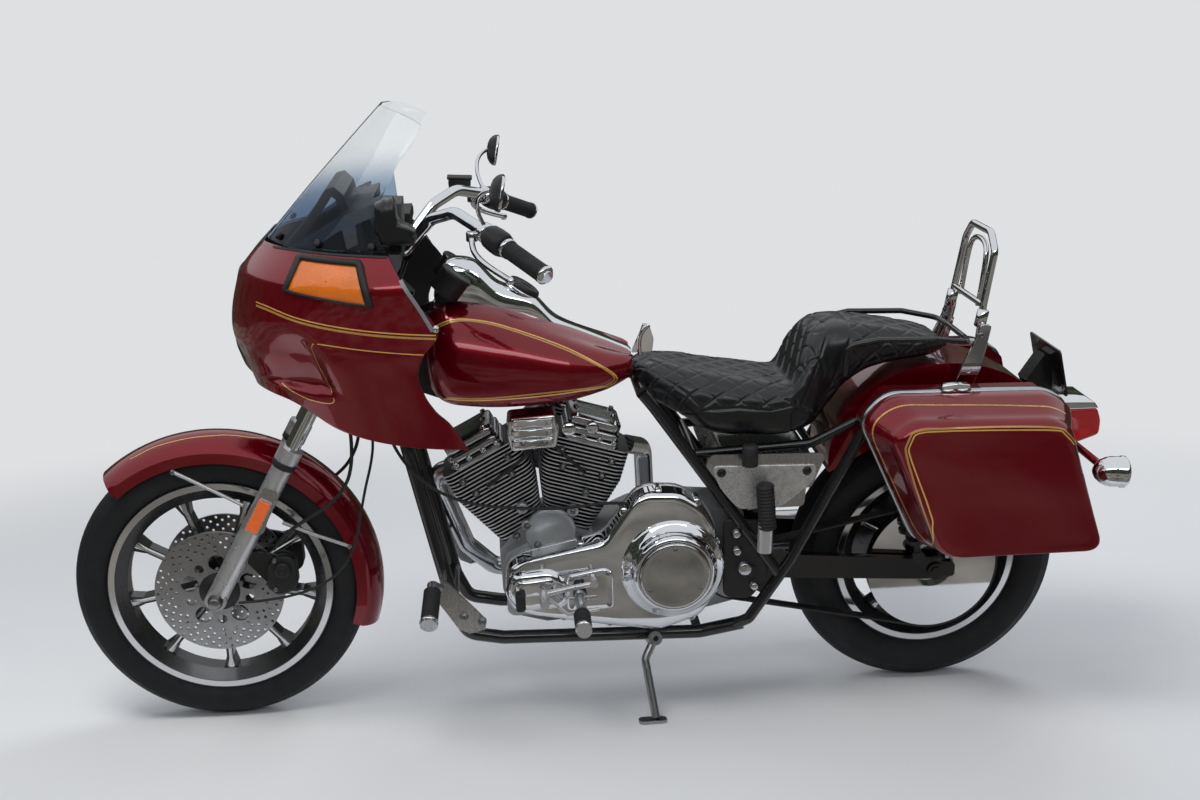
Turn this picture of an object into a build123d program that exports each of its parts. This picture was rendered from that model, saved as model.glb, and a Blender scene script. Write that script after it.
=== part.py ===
from build123d import *
import os
from math import cos, pi, radians, sin, tan

# Touring cruiser motorcycle, millimetres.  It is drawn upright, X forward, Y to its left and Z up,
# with its origin on the floor under the rear axle, and each piece is leaned onto the side stand as
# it is written.  The lean turns about the line through the centres of both tyres' crown arcs, so
# both treads stay on the floor at y = 0.

# ---------------------------------------------------------------- driving dimensions
LEAN_DEG = 8.0              # lean onto the side stand
TREAD_CROWN = 60.0          # radius of both treads' crown arcs
WHEELBASE = 1643.0

FRONT_TYRE_R = 330.0
FRONT_TYRE_HALF = 52.0
REAR_TYRE_R = 318.0
REAR_TYRE_HALF = 65.0
TYRE_WALL = 9.0

FRONT_RIM_R = 254.5
FRONT_RIM_HALF = 37.0
REAR_RIM_R = 216.7
REAR_RIM_HALF = 45.0
RIM_LIP = 17.5              # height of the machined lip
RIM_WELL_DEPTH = 26.0
SPOKE_COUNT = 9
SPOKE_HALF = 8.0
AXLE_R = 12.0
SPIN_FIT = 0.05             # radial clearance of a wheel on its axle

DISC_R = 146.0
DISC_INNER_R = 34.0
DISC_THICK = 5.0
DISC_Y = 55.0

RAKE_DEG = 29.3
FORK_OFFSET = 60.0          # fork line ahead of the steering axis
FORK_HALF = 92.0            # lateral place of each fork leg
FORK_TUBE_R = 17.5
SLIDER_R = 23.5
SLIDER_TOP = FRONT_TYRE_R + 35.0        # along the fork, from the axle
BOOT_R = 27.0
BOOT_LENGTH = 33.0
FORK_TOP = 830.0
LOWER_TREE = 596.0
TOP_TREE = 803.0
TREE_THICK = 26.0
NECK_R = 31.0
NECK_BORE_R = 21.0
STEM_R = 15.0
TREE_GAP = 5.0

FENDER_R = FRONT_TYRE_R + 37.0          # front fender crown
FENDER_HALF = 64.0
FENDER_SKIRT_R = FRONT_TYRE_R - 21.0
FENDER_WALL = 3.0
FENDER_FRONT_DEG = 49.6
FENDER_REAR_DEG = 198.0

HEAD_X = WHEELBASE - 543.0  # datum of all that stands on the steering head and its frame
NOSE_X = HEAD_X + 453.0     # the fairing's foremost point

BAR_R = 12.7
BAR_ROUTE = [(HEAD_X + ahead, y, z) for ahead, y, z in
             ((83, 0, 1096), (83, 62, 1096), (18, 96, 1172), (-32, 152, 1194), (-80, 226, 1174),
              (-212, 383, 1100))]
BAR_BENDS = [26, 40, 60, 60]
CLAMP_Y = 32.0              # bar clamps on the top tree
GRIP_R = 18.0
GRIP_LENGTH = 125.0

TUBE_R = 15.5               # frame tubes
RAIL_Y = 102.0              # lower rails
POST_Y = 138.0              # seat posts
STRUT_Y = 141.0             # rear struts
SUBFRAME_R = 11.0

CRANK_X = 888.0
CRANK_Z = 335.0
FRONT_BANK_DEG = 28.0       # front cylinder, ahead of upright
REAR_BANK_DEG = -17.0       # rear cylinder, behind upright
CASE_HALF = 72.0
BARREL_START = 118.0
FIN_PITCH = 9.0
FIN_THICK = 3.5
BARREL_FINS = 15
BANK_GAP = 3.0              # between the two banks' fins
HEAD_FINS = 9
FIN_HALF = 74.0

PRIMARY_INNER_Y = 100.0
PRIMARY_OUTER_Y = 168.0
CLUTCH_X = 619.0
CLUTCH_Z = 377.0
CLUTCH_R = 96.0
DERBY_R = 80.0

PULLEY_R = 152.0
SPROCKET_R = 55.0
SPROCKET_X = 470.0
SPROCKET_Z = 320.0
BELT_INNER_Y = 69.0
BELT_WIDTH = 26.0
BELT_THICK = 5.0
BELT_GAP = 0.6

ARM_INNER_Y = 101.0
ARM_THICK = 22.0
PIVOT_X = 436.0
PIVOT_Z = 352.0

BAG_INNER_Y = 158.0
BAG_SEAM_Y = 205.0
BAG_FACE_Y = 350.0
BAG_WALL = 5.0
BAG_GAP = 0.6               # between the shell and its lid

SHELL_WALL = 6.0            # fairing
SHIELD_THICK = 4.0

STAND_PIVOT = (660.0, 148.0, 197.0)
STAND_AXIS = (-0.10, 0.90, 0.42)        # hinge axis, in the upright frame
STAND_PIN_R = 6.0
STAND_FOOT = (667.0, 225.0, 0.0)        # on the floor, in the leaned frame
STAND_LEG_R = 9.5

LEAN = Pos(0, 0, TREAD_CROWN) * Rot(-LEAN_DEG, 0, 0) * Pos(0, 0, -TREAD_CROWN)
UPRIGHT = LEAN.inverse()


# ---------------------------------------------------------------- helpers
def save(builder, name):
    """Lean a finished piece, label it and write it."""
    leaned = builder.part.moved(LEAN)
    leaned.label = name
    export_step(leaned, f"parts/{name}.step")
    print(name, len(builder.part.solids()), round(builder.part.volume / 1000), "cm3")


def side_plane(y):
    """Sketch plane seen from the side: local x is X, local y is Z."""
    return Plane.XZ.offset(-y)


def cross_plane(x):
    """Sketch plane seen along the bike: local x is Y, local y is Z."""
    return Plane.YZ.offset(x)


def slab(outline, y_from, y_to, corner=0):
    """A plate with a side-view outline between two lateral offsets."""
    with BuildPart() as plate:
        with BuildSketch(side_plane(y_from)):
            with BuildLine():
                if corner:
                    FilletPolyline(*outline, radius=corner, close=True)
                else:
                    Polyline(*outline, close=True)
            make_face()
        extrude(amount=y_from - y_to)
    return plate.part


def puck(x, z, y_from, y_to, radius, bore=0.0):
    """A round boss along Y."""
    with BuildPart() as boss:
        with BuildSketch(side_plane(y_from)):
            with Locations((x, z)):
                Circle(radius)
                if bore:
                    Circle(bore, mode=Mode.SUBTRACT)
        extrude(amount=y_from - y_to)
    return boss.part


def rod(start, end, radius, bore=0.0):
    """A round bar or tube from one point to another."""
    run = Vector(*end) - Vector(*start)
    with BuildPart() as bar:
        with BuildSketch(Plane(origin=start, z_dir=run)):
            Circle(radius)
            if bore:
                Circle(bore, mode=Mode.SUBTRACT)
        extrude(amount=run.length)
    return bar.part


def pipe(points, bend, radius, bore=0.0):
    """A bent round bar or tube: straight runs joined by tangent arcs."""
    with BuildPart() as bar:
        with BuildLine() as route:
            FilletPolyline(*points, radius=bend)
        with BuildSketch(Plane(origin=route.line @ 0, z_dir=route.line % 0)):
            Circle(radius)
            if bore:
                Circle(bore, mode=Mode.SUBTRACT)
        sweep(path=route.line)
    return bar.part


def cord(points, diameter, name):
    """A cable's tube, each bend as large as its two runs allow."""
    route = [Vector(*p) for p in points]
    radii = []
    for before, corner, after in zip(route, route[1:], route[2:]):
        turn = (corner - before).get_angle(after - corner)
        shorter = min((corner - before).length, (after - corner).length)
        radii.append(0.45 * shorter / tan(radians(turn / 2)))
    print(name, "bend radii", [round(r) for r in radii])
    with BuildPart() as cable:
        with BuildLine() as line:
            FilletPolyline(*points, radius=radii)
        with BuildSketch(Plane(origin=line.line @ 0, z_dir=line.line % 0)):
            Circle(diameter / 2)
        sweep(path=line.line)
    length = line.wire().length
    section = pi * diameter ** 2 / 4
    print(name, "length", round(length), "volume ratio",
          round(cable.part.volume / (section * length), 4))
    return cable.part


def ring(x, z, profile):
    """A wheel-like ring about a lateral axis; the profile lists (lateral, radial) points."""
    plane = Plane(origin=(x, 0, z), x_dir=(0, 1, 0), z_dir=(1, 0, 0))
    with BuildPart() as turned:
        with BuildSketch(plane):
            with BuildLine():
                Polyline(*profile, close=True)
            make_face()
        revolve(axis=Axis((x, 0, z), (0, 1, 0)))
    return turned.part


def fork_point(along, ahead=0.0, y=0.0):
    """A point by its distance up the fork line from the axle and ahead of that line."""
    rake = radians(RAKE_DEG)
    return (WHEELBASE - along * sin(rake) + ahead * cos(rake),
            y,
            FRONT_TYRE_R + along * cos(rake) + ahead * sin(rake))


def fork_plane(along):
    """A plane square to the fork at a distance up it: local x ahead, local y to the left."""
    rake = radians(RAKE_DEG)
    return Plane(origin=fork_point(along), x_dir=(cos(rake), 0, sin(rake)),
                 z_dir=(-sin(rake), 0, cos(rake)))


def along_stand_axis(distance):
    """A point on the side stand's hinge axis, by its distance outwards from the pivot."""
    point = Vector(*STAND_PIVOT) + Vector(*STAND_AXIS).normalized() * distance
    return tuple(point)


def mirrored(points):
    """The same points on the other side."""
    return [(x, -y, z) for x, y, z in points]


# ---------------------------------------------------------------- wheels
def tyre(x, radius, half, rim_r, rim_half):
    """A tyre with a round crown, bulged walls and beads inside the rim's flanges."""
    crown_turn = radians(38)
    plane = Plane(origin=(x, 0, radius), x_dir=(0, 1, 0), z_dir=(1, 0, 0))
    with BuildPart() as body:
        with BuildSketch(plane):
            for inset, mode in ((0.0, Mode.ADD), (TYRE_WALL, Mode.SUBTRACT)):
                centre = radius - TREAD_CROWN
                crown = TREAD_CROWN - inset
                edge_y = crown * sin(crown_turn)
                edge_r = centre + crown * cos(crown_turn)
                bead_y = rim_half - 4.0 - inset
                wall_y = half - inset
                wall_r = rim_r + 0.45 * (edge_r - rim_r)
                with BuildLine():
                    ThreePointArc((-edge_y, edge_r), (0, radius - inset), (edge_y, edge_r))
                    Line((edge_y, edge_r), (wall_y - 2, wall_r + 22))
                    bead_top = rim_r + 1.0
                    ThreePointArc((wall_y - 2, wall_r + 22), (wall_y, wall_r), (bead_y, bead_top))
                    Polyline((bead_y, bead_top), (bead_y, rim_r - 9), (-bead_y, rim_r - 9),
                             (-bead_y, bead_top))
                    ThreePointArc((-bead_y, bead_top), (-wall_y, wall_r), (2 - wall_y, wall_r + 22))
                    Line((2 - wall_y, wall_r + 22), (-edge_y, edge_r))
                make_face(mode=mode)
        revolve(axis=Axis((x, 0, radius), (0, 1, 0)))
    return body.part


def rim(x, z, flange_r, half, hub_r, hub_half, bore):
    """A cast wheel: machined lips, a drop centre, nine blade spokes and a hub."""
    seat_r = flange_r - 9.0
    lip_r = flange_r - RIM_LIP
    web_r = flange_r - RIM_WELL_DEPTH
    inner_r = web_r - 16.0
    profile = [(half, flange_r), (half - 4, flange_r), (half - 4, seat_r), (half - 14, seat_r - 3),
               (half - 22, web_r), (22 - half, web_r), (14 - half, seat_r - 3), (4 - half, seat_r),
               (4 - half, flange_r), (-half, flange_r), (-half, lip_r), (-half * 0.55, inner_r),
               (half * 0.55, inner_r), (half, lip_r)]
    with BuildPart() as wheel:
        add(ring(x, z, profile))
        add(puck(x, z, -hub_half, hub_half, hub_r))
        with BuildSketch(side_plane(0)):
            for number in range(SPOKE_COUNT):
                with Locations(Location((x, z), -90.0 + number * 360.0 / SPOKE_COUNT)):
                    Polygon((hub_r - 4, -14), (hub_r + 40, -SPOKE_HALF),
                            (inner_r - 30, -SPOKE_HALF), (inner_r + 4, -18), (inner_r + 4, 18),
                            (inner_r - 30, SPOKE_HALF), (hub_r + 40, SPOKE_HALF),
                            (hub_r - 4, 14), align=None)
        extrude(amount=half * 0.45, both=True)
        add(puck(x, z, -hub_half - 1, hub_half + 1, bore), mode=Mode.SUBTRACT)
    return wheel.part


os.makedirs("parts", exist_ok=True)

with BuildPart() as front_rim:
    add(rim(WHEELBASE, FRONT_TYRE_R, FRONT_RIM_R, FRONT_RIM_HALF, 40, 50, AXLE_R + SPIN_FIT))
with BuildPart() as rear_rim:
    add(rim(0, REAR_TYRE_R, REAR_RIM_R, REAR_RIM_HALF, 52, 58, AXLE_R + SPIN_FIT))
with BuildPart() as front_tyre:
    add(tyre(WHEELBASE, FRONT_TYRE_R, FRONT_TYRE_HALF, FRONT_RIM_R, FRONT_RIM_HALF))
with BuildPart() as rear_tyre:
    add(tyre(0, REAR_TYRE_R, REAR_TYRE_HALF, REAR_RIM_R, REAR_RIM_HALF))
save(front_tyre, "front_tyre")
save(rear_tyre, "rear_tyre")
save(front_rim, "front_rim")
save(rear_rim, "rear_rim")

# ---------------------------------------------------------------- front discs, fork and fender
with BuildPart() as front_discs:
    for side in (-1, 1):
        y_inner = side * DISC_Y - DISC_THICK / 2
        add(puck(WHEELBASE, FRONT_TYRE_R, y_inner, y_inner + DISC_THICK, DISC_R, DISC_INNER_R))
    for radius, count, hole_r in ((69.0, 5, 20.0), (76.0, 5, 11.0)):
        turn = 36.0 if hole_r < 15 else 0.0
        for number in range(count):
            angle = radians(90 + turn + number * 360 / count)
            with Locations(Location((WHEELBASE + radius * cos(angle), 0,
                                     FRONT_TYRE_R + radius * sin(angle)), (90, 0, 0))):
                Cylinder(hole_r, 4 * DISC_Y, mode=Mode.SUBTRACT)
    for side in (-1, 1):
        hub_end = side * 50.0
        disc_face = side * (DISC_Y - DISC_THICK / 2)
        low, high = sorted((hub_end, disc_face))
        add(puck(WHEELBASE, FRONT_TYRE_R, low, high, 46, DISC_INNER_R + 4))
save(front_discs, "front_discs")

LEG_BOSS_R = 24.0
AXLE_END_Y = 116.0
with BuildPart() as fork_sliders:
    with BuildSketch(fork_plane(-20)):
        with Locations((0, FORK_HALF), (0, -FORK_HALF)):
            Circle(SLIDER_R)
    extrude(amount=SLIDER_TOP + 20)
    for side in (-1, 1):
        low, high = sorted((side * (FORK_HALF - LEG_BOSS_R), side * (AXLE_END_Y - 4)))
        add(puck(WHEELBASE, FRONT_TYRE_R, low, high, LEG_BOSS_R))
    with BuildSketch(fork_plane(SLIDER_TOP)):
        with Locations((0, FORK_HALF), (0, -FORK_HALF)):
            Circle(BOOT_R)
    extrude(amount=BOOT_LENGTH)
    add(puck(WHEELBASE, FRONT_TYRE_R, -AXLE_END_Y, AXLE_END_Y, AXLE_R))
    with BuildSketch(fork_plane(SLIDER_TOP - 60)):
        with Locations((0, FORK_HALF), (0, -FORK_HALF)):
            Circle(FORK_TUBE_R)
    extrude(amount=60 + BOOT_LENGTH, mode=Mode.SUBTRACT)
save(fork_sliders, "fork_sliders")

with BuildPart() as fork_tubes:
    with BuildSketch(fork_plane(SLIDER_TOP - 60)):
        with Locations((0, FORK_HALF), (0, -FORK_HALF)):
            Circle(FORK_TUBE_R)
    extrude(amount=FORK_TOP - SLIDER_TOP + 60)
save(fork_tubes, "fork_tubes")

TREE_ARM = 30.0
with BuildPart() as triple_trees:
    for along in (LOWER_TREE, TOP_TREE):
        with BuildSketch(fork_plane(along - TREE_THICK / 2)):
            with Locations((0, FORK_HALF), (0, -FORK_HALF), (-FORK_OFFSET, 0)):
                Circle(TREE_ARM)
            make_hull()
            with Locations((0, FORK_HALF), (0, -FORK_HALF)):
                Circle(FORK_TUBE_R, mode=Mode.SUBTRACT)
        extrude(amount=TREE_THICK)
    with BuildSketch(fork_plane(LOWER_TREE)):
        with Locations((-FORK_OFFSET, 0)):
            Circle(STEM_R)
    extrude(amount=TOP_TREE - LOWER_TREE)
    for side in (-1, 1):
        add(rod(fork_point(TOP_TREE, -45, side * 38),
                (BAR_ROUTE[0][0], side * CLAMP_Y, BAR_ROUTE[0][2] - BAR_R - 5), 10))
        add(puck(BAR_ROUTE[0][0], BAR_ROUTE[0][2], side * CLAMP_Y - 10, side * CLAMP_Y + 10, 22,
                 BAR_R))
save(triple_trees, "triple_trees")

with BuildPart() as front_fender:
    tip = radians(FENDER_FRONT_DEG)
    plane = Plane(origin=(WHEELBASE, 0, FRONT_TYRE_R), x_dir=(0, 1, 0),
                  z_dir=(-sin(tip), 0, cos(tip)))
    skirt = FENDER_R - 34.0
    with BuildSketch(plane):
        for inset, mode in ((0.0, Mode.ADD), (FENDER_WALL, Mode.SUBTRACT)):
            edge = FENDER_HALF - inset
            low = FENDER_SKIRT_R - inset
            with BuildLine():
                Polyline((edge, -skirt), (edge, -low), (-edge, -low), (-edge, -skirt))
                ThreePointArc((-edge, -skirt), (0, inset - FENDER_R), (edge, -skirt))
            make_face(mode=mode)
    sweep_deg = FENDER_REAR_DEG - FENDER_FRONT_DEG
    revolve(axis=Axis((WHEELBASE, 0, FRONT_TYRE_R), (0, -1, 0)), revolution_arc=sweep_deg)
    for side in (-1, 1):
        for along in (FRONT_TYRE_R - 4, FRONT_TYRE_R + 20):
            start = fork_point(along, 0, side * (FENDER_HALF - 2))
            add(rod(start, fork_point(along, 0, side * (FORK_HALF - SLIDER_R)), 8))
save(front_fender, "front_fender")

CALIPER_DEG = 167.0
with BuildPart() as front_calipers:
    for side in (-1, 1):
        angle = radians(CALIPER_DEG)
        middle = (WHEELBASE + 118 * cos(angle), FRONT_TYRE_R + 118 * sin(angle))
        with Locations(Location((middle[0], side * (DISC_Y + 2), middle[1]), (0, -CALIPER_DEG, 0))):
            Box(76, 50, 96)
        add(rod((middle[0] + 20, side * (FORK_HALF - 16), middle[1] + 10),
                fork_point(95, -14, side * (FORK_HALF - 8)), 11))
    with Locations(Location((WHEELBASE, 0, FRONT_TYRE_R), (90, 0, 0))):
        Cylinder(DISC_R + 6, 2 * DISC_Y + DISC_THICK + 10, mode=Mode.SUBTRACT)
    add(fork_sliders.part, mode=Mode.SUBTRACT)
save(front_calipers, "front_calipers")

# ---------------------------------------------------------------- handlebar and its controls
bar_end = Vector(*BAR_ROUTE[-1])
bar_run = (bar_end - Vector(*BAR_ROUTE[-2])).normalized()


def on_bar(back, lift=0.0, ahead=0.0):
    """A point a distance back from the left bar's end, lifted and moved ahead of the bar."""
    point = bar_end - bar_run * back
    return (point.X + ahead, point.Y, point.Z + lift)


with BuildPart() as handlebar:
    add(pipe(BAR_ROUTE, BAR_BENDS, BAR_R))
    mirror(about=Plane.XZ)
save(handlebar, "handlebar")

with BuildPart() as grips:
    add(rod(on_bar(GRIP_LENGTH), on_bar(0), GRIP_R, BAR_R))
    add(rod(on_bar(0), on_bar(-9), GRIP_R - 2))
    mirror(about=Plane.XZ)
save(grips, "grips")

MIRROR_X = HEAD_X - 134.0
MIRROR_Y = 330.0
MIRROR_Z = 1262.0
MASTER_CENTRE = (HEAD_X - 38.0, -275, 1186)     # front brake's fluid reservoir
with BuildPart() as hand_controls:
    add(rod(on_bar(GRIP_LENGTH + 48), on_bar(GRIP_LENGTH + 2), 24, BAR_R))
    add(rod(on_bar(GRIP_LENGTH + 74), on_bar(GRIP_LENGTH + 52), 20, BAR_R))
    lever_root = on_bar(GRIP_LENGTH + 63, -6, 30)
    add(rod(on_bar(GRIP_LENGTH + 63, -2, 14), lever_root, 9))
    add(pipe([lever_root, on_bar(GRIP_LENGTH - 5, -14, 62), on_bar(18, -14, 58)], 30, 6))
    stem_root = on_bar(GRIP_LENGTH + 63, 14, 4)
    add(rod(on_bar(GRIP_LENGTH + 63, 19), stem_root, 8))
    add(pipe([stem_root, (HEAD_X - 90, 268, 1236), (MIRROR_X + 24, MIRROR_Y - 12, MIRROR_Z)], 30, 4.5))
    mirror_plane = Plane(origin=(MIRROR_X + 12, MIRROR_Y, MIRROR_Z), x_dir=(0, 1, 0),
                         z_dir=(1, 0, 0.18))
    with BuildSketch(mirror_plane):
        RectangleRounded(112, 78, 30)
    extrude(amount=22)
    mirror(about=Plane.XZ)
    with Locations(Location(MASTER_CENTRE, (0, 4, 0))):
        Box(52, 38, 32)
    add(rod((MASTER_CENTRE[0] - 66, -256, 1160),
            (MASTER_CENTRE[0] - 12, MASTER_CENTRE[1], MASTER_CENTRE[2] - 4), 9))
    add(handlebar.part, mode=Mode.SUBTRACT)
    add(grips.part, mode=Mode.SUBTRACT)
save(hand_controls, "hand_controls")

# ---------------------------------------------------------------- cables on the fork
BRAKE_ROUTE = [fork_point(560, -40, 70)]
BRAKE_ROUTE += [(HEAD_X + ahead, y, z) for ahead, y, z in
    ((230, 98, 770), (218, 112, 730), (216, 118, 690), (219, 114, 645), (230, 106, 602),
     (252, 100, 566), (286, 98, 536), (330, 97, 510), (376, 96, 480), (408, 92, 440))]
SPEEDO_ROUTE = [fork_point(560, -60, 40)]
SPEEDO_ROUTE += [(HEAD_X + ahead, y, z) for ahead, y, z in
    ((196, 96, 770), (172, 120, 735), (168, 130, 690), (176, 132, 645), (192, 132, 590),
     (206, 132, 530), (218, 132, 475), (238, 132, 425), (272, 130, 384), (320, 128, 356),
     (375, 127, 340), (435, 126, 332), (490, 126, 330))]
with BuildPart() as brake_hose_left:
    add(cord(BRAKE_ROUTE, 8.0, "brake_hose_left"))
save(brake_hose_left, "brake_hose_left")
with BuildPart() as brake_hose_right:
    add(cord(mirrored(BRAKE_ROUTE), 8.0, "brake_hose_right"))
save(brake_hose_right, "brake_hose_right")
with BuildPart() as speedo_cable:
    add(cord(SPEEDO_ROUTE, 6.0, "speedo_cable"))
save(speedo_cable, "speedo_cable")

# ---------------------------------------------------------------- frame
NECK_LOW = LOWER_TREE + TREE_THICK / 2 + TREE_GAP
NECK_HIGH = TOP_TREE - TREE_THICK / 2 - TREE_GAP
neck_bottom = fork_point(NECK_LOW, -FORK_OFFSET)
neck_top = fork_point(NECK_HIGH, -FORK_OFFSET)
BACKBONE_R = 24.0
BACKBONE_REAR = (680, 0, 800)

with BuildPart() as frame_main:
    add(pipe([fork_point(NECK_LOW + 60, -FORK_OFFSET), (HEAD_X + 20, 0, 885), BACKBONE_REAR], 120,
             BACKBONE_R))
    add(rod((680, -POST_Y, 782), (680, POST_Y, 782), 14))
    for side in (-1, 1):
        add(pipe([(680, side * POST_Y, 782), (655, side * POST_Y, 750),
                  (366, side * POST_Y, 330)], 30, TUBE_R - 2))
    add(rod(neck_bottom, neck_top, NECK_R))
    add(rod(neck_bottom, neck_top, NECK_BORE_R), mode=Mode.SUBTRACT)
save(frame_main, "frame_main")

with BuildPart() as frame_cradle:
    for side in (-1, 1):
        add(pipe([fork_point(NECK_LOW + 25, -FORK_OFFSET - 34, side * 26),
                  (HEAD_X + 112, side * 82, 730), (HEAD_X + 96, side * RAIL_Y, 665),
                  (1112, side * RAIL_Y, 276), (1084, side * RAIL_Y, 214),
                  (1004, side * RAIL_Y, 198), (548, side * RAIL_Y, 186),
                  (452, side * (RAIL_Y + 22), 214)],
                 [40, 60, 40, 40, 60, 60], TUBE_R))
        add(pipe([(470, side * (RAIL_Y + 20), 209), (440, side * STRUT_Y, 232),
                  (346, side * STRUT_Y, 372), (186, side * STRUT_Y, 676)], [18, 60], TUBE_R - 2.5))
    add(rod((1116, -RAIL_Y, 292), (1116, RAIL_Y, 292), 14))
    add(rod((552, -RAIL_Y, 188), (552, RAIL_Y, 188), 11))
    for side in (-1, 1):
        low, high = sorted((side * (ARM_INNER_Y + ARM_THICK + 3), side * STRUT_Y))
        add(slab([(462, 384), (462, 326), (400, 286), (348, 340), (352, 396)], low, high, 8))
        add(puck(PIVOT_X, PIVOT_Z, low - 1, high + 1, 14), mode=Mode.SUBTRACT)
    add(rod(along_stand_axis(-34), along_stand_axis(20), STAND_PIN_R))
    add(rod(along_stand_axis(-46), along_stand_axis(-16), 13))
    add(frame_main.part, mode=Mode.SUBTRACT)
save(frame_cradle, "frame_cradle")

with BuildPart() as frame_rear:
    for side in (-1, 1):
        add(pipe([(560, side * 112, 628), (300, side * 112, 640), (200, side * 118, 690),
                  (-20, side * 118, 736), (-190, side * 118, 716)], [60, 60, 60], SUBFRAME_R))
    add(rod((300, -112, 640), (300, 112, 640), 9))
    add(rod((560, -112, 628), (560, 112, 628), 9))
    for taken in (frame_main, frame_cradle):
        add(taken.part, mode=Mode.SUBTRACT)
save(frame_rear, "frame_rear")

# ---------------------------------------------------------------- engine
def bank_plane(lean_deg, along):
    """A plane across a cylinder bank: local x towards the front, local y to the left."""
    lean = radians(lean_deg)
    return Plane(origin=(CRANK_X + along * sin(lean), 0, CRANK_Z + along * cos(lean)),
                 x_dir=(cos(lean), 0, -sin(lean)), z_dir=(sin(lean), 0, cos(lean)))


HEAD_START = BARREL_START + BARREL_FINS * FIN_PITCH
ROCKER_START = HEAD_START + HEAD_FINS * FIN_PITCH


def bank_cylinder(lean_deg, inward):
    """A barrel and head with their cooling fins; inward is -1 where the other bank is behind."""
    half_vee = tan(radians((FRONT_BANK_DEG - REAR_BANK_DEG) / 2))
    with BuildPart() as cylinder:
        with BuildSketch(bank_plane(lean_deg, BARREL_START)):
            Circle(46)
        extrude(amount=ROCKER_START - BARREL_START)
        for fin in range(BARREL_FINS + HEAD_FINS):
            along = BARREL_START + fin * FIN_PITCH
            grown = min(fin / BARREL_FINS, 1.0)
            outer = 60 + 34 * grown
            inner = min(outer, along * half_vee - BANK_GAP)
            with BuildSketch(bank_plane(lean_deg, along)):
                with Locations((-inward * (outer - inner) / 2, 0)):
                    RectangleRounded(outer + inner, 2 * (FIN_HALF - 10 + 10 * grown), 24)
            extrude(amount=FIN_THICK)
        with BuildSketch(bank_plane(lean_deg, HEAD_START)):
            RectangleRounded(118, 112, 20)
        extrude(amount=ROCKER_START - HEAD_START)
    return cylinder.part


def rocker_box(lean_deg):
    """Two stepped covers on top of a head."""
    with BuildPart() as cover:
        for start, height, length, width in ((0, 34, 180, 122), (34, 26, 164, 108)):
            with BuildSketch(bank_plane(lean_deg, ROCKER_START + start)):
                RectangleRounded(length, width, 22)
            extrude(amount=height)
    return cover.part


with BuildPart() as cylinders:
    add(bank_cylinder(FRONT_BANK_DEG, -1))
    add(bank_cylinder(REAR_BANK_DEG, 1))
save(cylinders, "cylinders")

with BuildPart() as rocker_boxes:
    add(rocker_box(FRONT_BANK_DEG))
    add(rocker_box(REAR_BANK_DEG))
    add(frame_main.part, mode=Mode.SUBTRACT)
save(rocker_boxes, "rocker_boxes")

CASE_OUTLINE = [(1000, 300), (1004, 400), (972, 438), (940, 462), (880, 476), (836, 452),
                (790, 430), (700, 470), (600, 486), (440, 470), (440, 250), (560, 222),
                (700, 214), (800, 224), (900, 216), (970, 236)]
with BuildPart() as crankcase:
    add(slab(CASE_OUTLINE, -CASE_HALF, CASE_HALF - 6, 14))
    add(slab([(780, 250), (992, 250), (992, 404), (900, 450), (780, 430)], CASE_HALF - 6,
             PRIMARY_INNER_Y, 20))
    add(slab([(546, 250), (780, 250), (780, 430), (546, 450)], CASE_HALF - 6, PRIMARY_INNER_Y, 20))
    add(puck(SPROCKET_X, SPROCKET_Z, CASE_HALF - 6, BELT_INNER_Y - 1, 20))
    add(puck(SPROCKET_X, SPROCKET_Z, BELT_INNER_Y - 1, BELT_INNER_Y + BELT_WIDTH + 1, SPROCKET_R))
    for lean_deg in (FRONT_BANK_DEG, REAR_BANK_DEG):
        with BuildSketch(bank_plane(lean_deg, 60)):
            Circle(58)
        extrude(amount=BARREL_START - 60)
    add(cylinders.part, mode=Mode.SUBTRACT)
    add(frame_cradle.part, mode=Mode.SUBTRACT)
save(crankcase, "crankcase")

PRIMARY_OUTLINE = [(992, 330), (988, 388), (958, 412), (772, 450), (700, 548), (672, 560),
                   (600, 556), (550, 522), (520, 468), (512, 380), (516, 320), (552, 254),
                   (650, 222), (760, 240), (943, 276), (985, 296)]
BULGE_OUTLINE = [(994, 334), (976, 386), (886, 392), (846, 338), (864, 298), (966, 296)]
HATCH_OUTLINE = [(853, 374), (772, 388), (754, 376), (754, 290), (856, 290)]
with BuildPart() as primary_cover:
    add(slab(PRIMARY_OUTLINE, PRIMARY_INNER_Y, PRIMARY_OUTER_Y, 12))
    chamfer(primary_cover.faces().sort_by(Axis.Y)[-1].edges(), 7)
    add(slab(BULGE_OUTLINE, PRIMARY_OUTER_Y - 8, PRIMARY_OUTER_Y + 14, 16))
    add(slab(HATCH_OUTLINE, PRIMARY_OUTER_Y - 8, PRIMARY_OUTER_Y + 6, 8))
    with BuildSketch(side_plane(PRIMARY_OUTER_Y - 8)):
        with Locations((CLUTCH_X, CLUTCH_Z)):
            Circle(CLUTCH_R + 20)
    extrude(amount=-34, taper=22)
    add(puck(CLUTCH_X, CLUTCH_Z, PRIMARY_OUTER_Y, PRIMARY_OUTER_Y + 38, DERBY_R + 8))
    add(frame_cradle.part, mode=Mode.SUBTRACT)
save(primary_cover, "primary_cover")

with BuildPart() as derby_cover:
    add(puck(CLUTCH_X, CLUTCH_Z, PRIMARY_OUTER_Y + 38, PRIMARY_OUTER_Y + 46, DERBY_R))
    chamfer(derby_cover.faces().sort_by(Axis.Y)[-1].edges(), 5)
save(derby_cover, "derby_cover")

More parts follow.
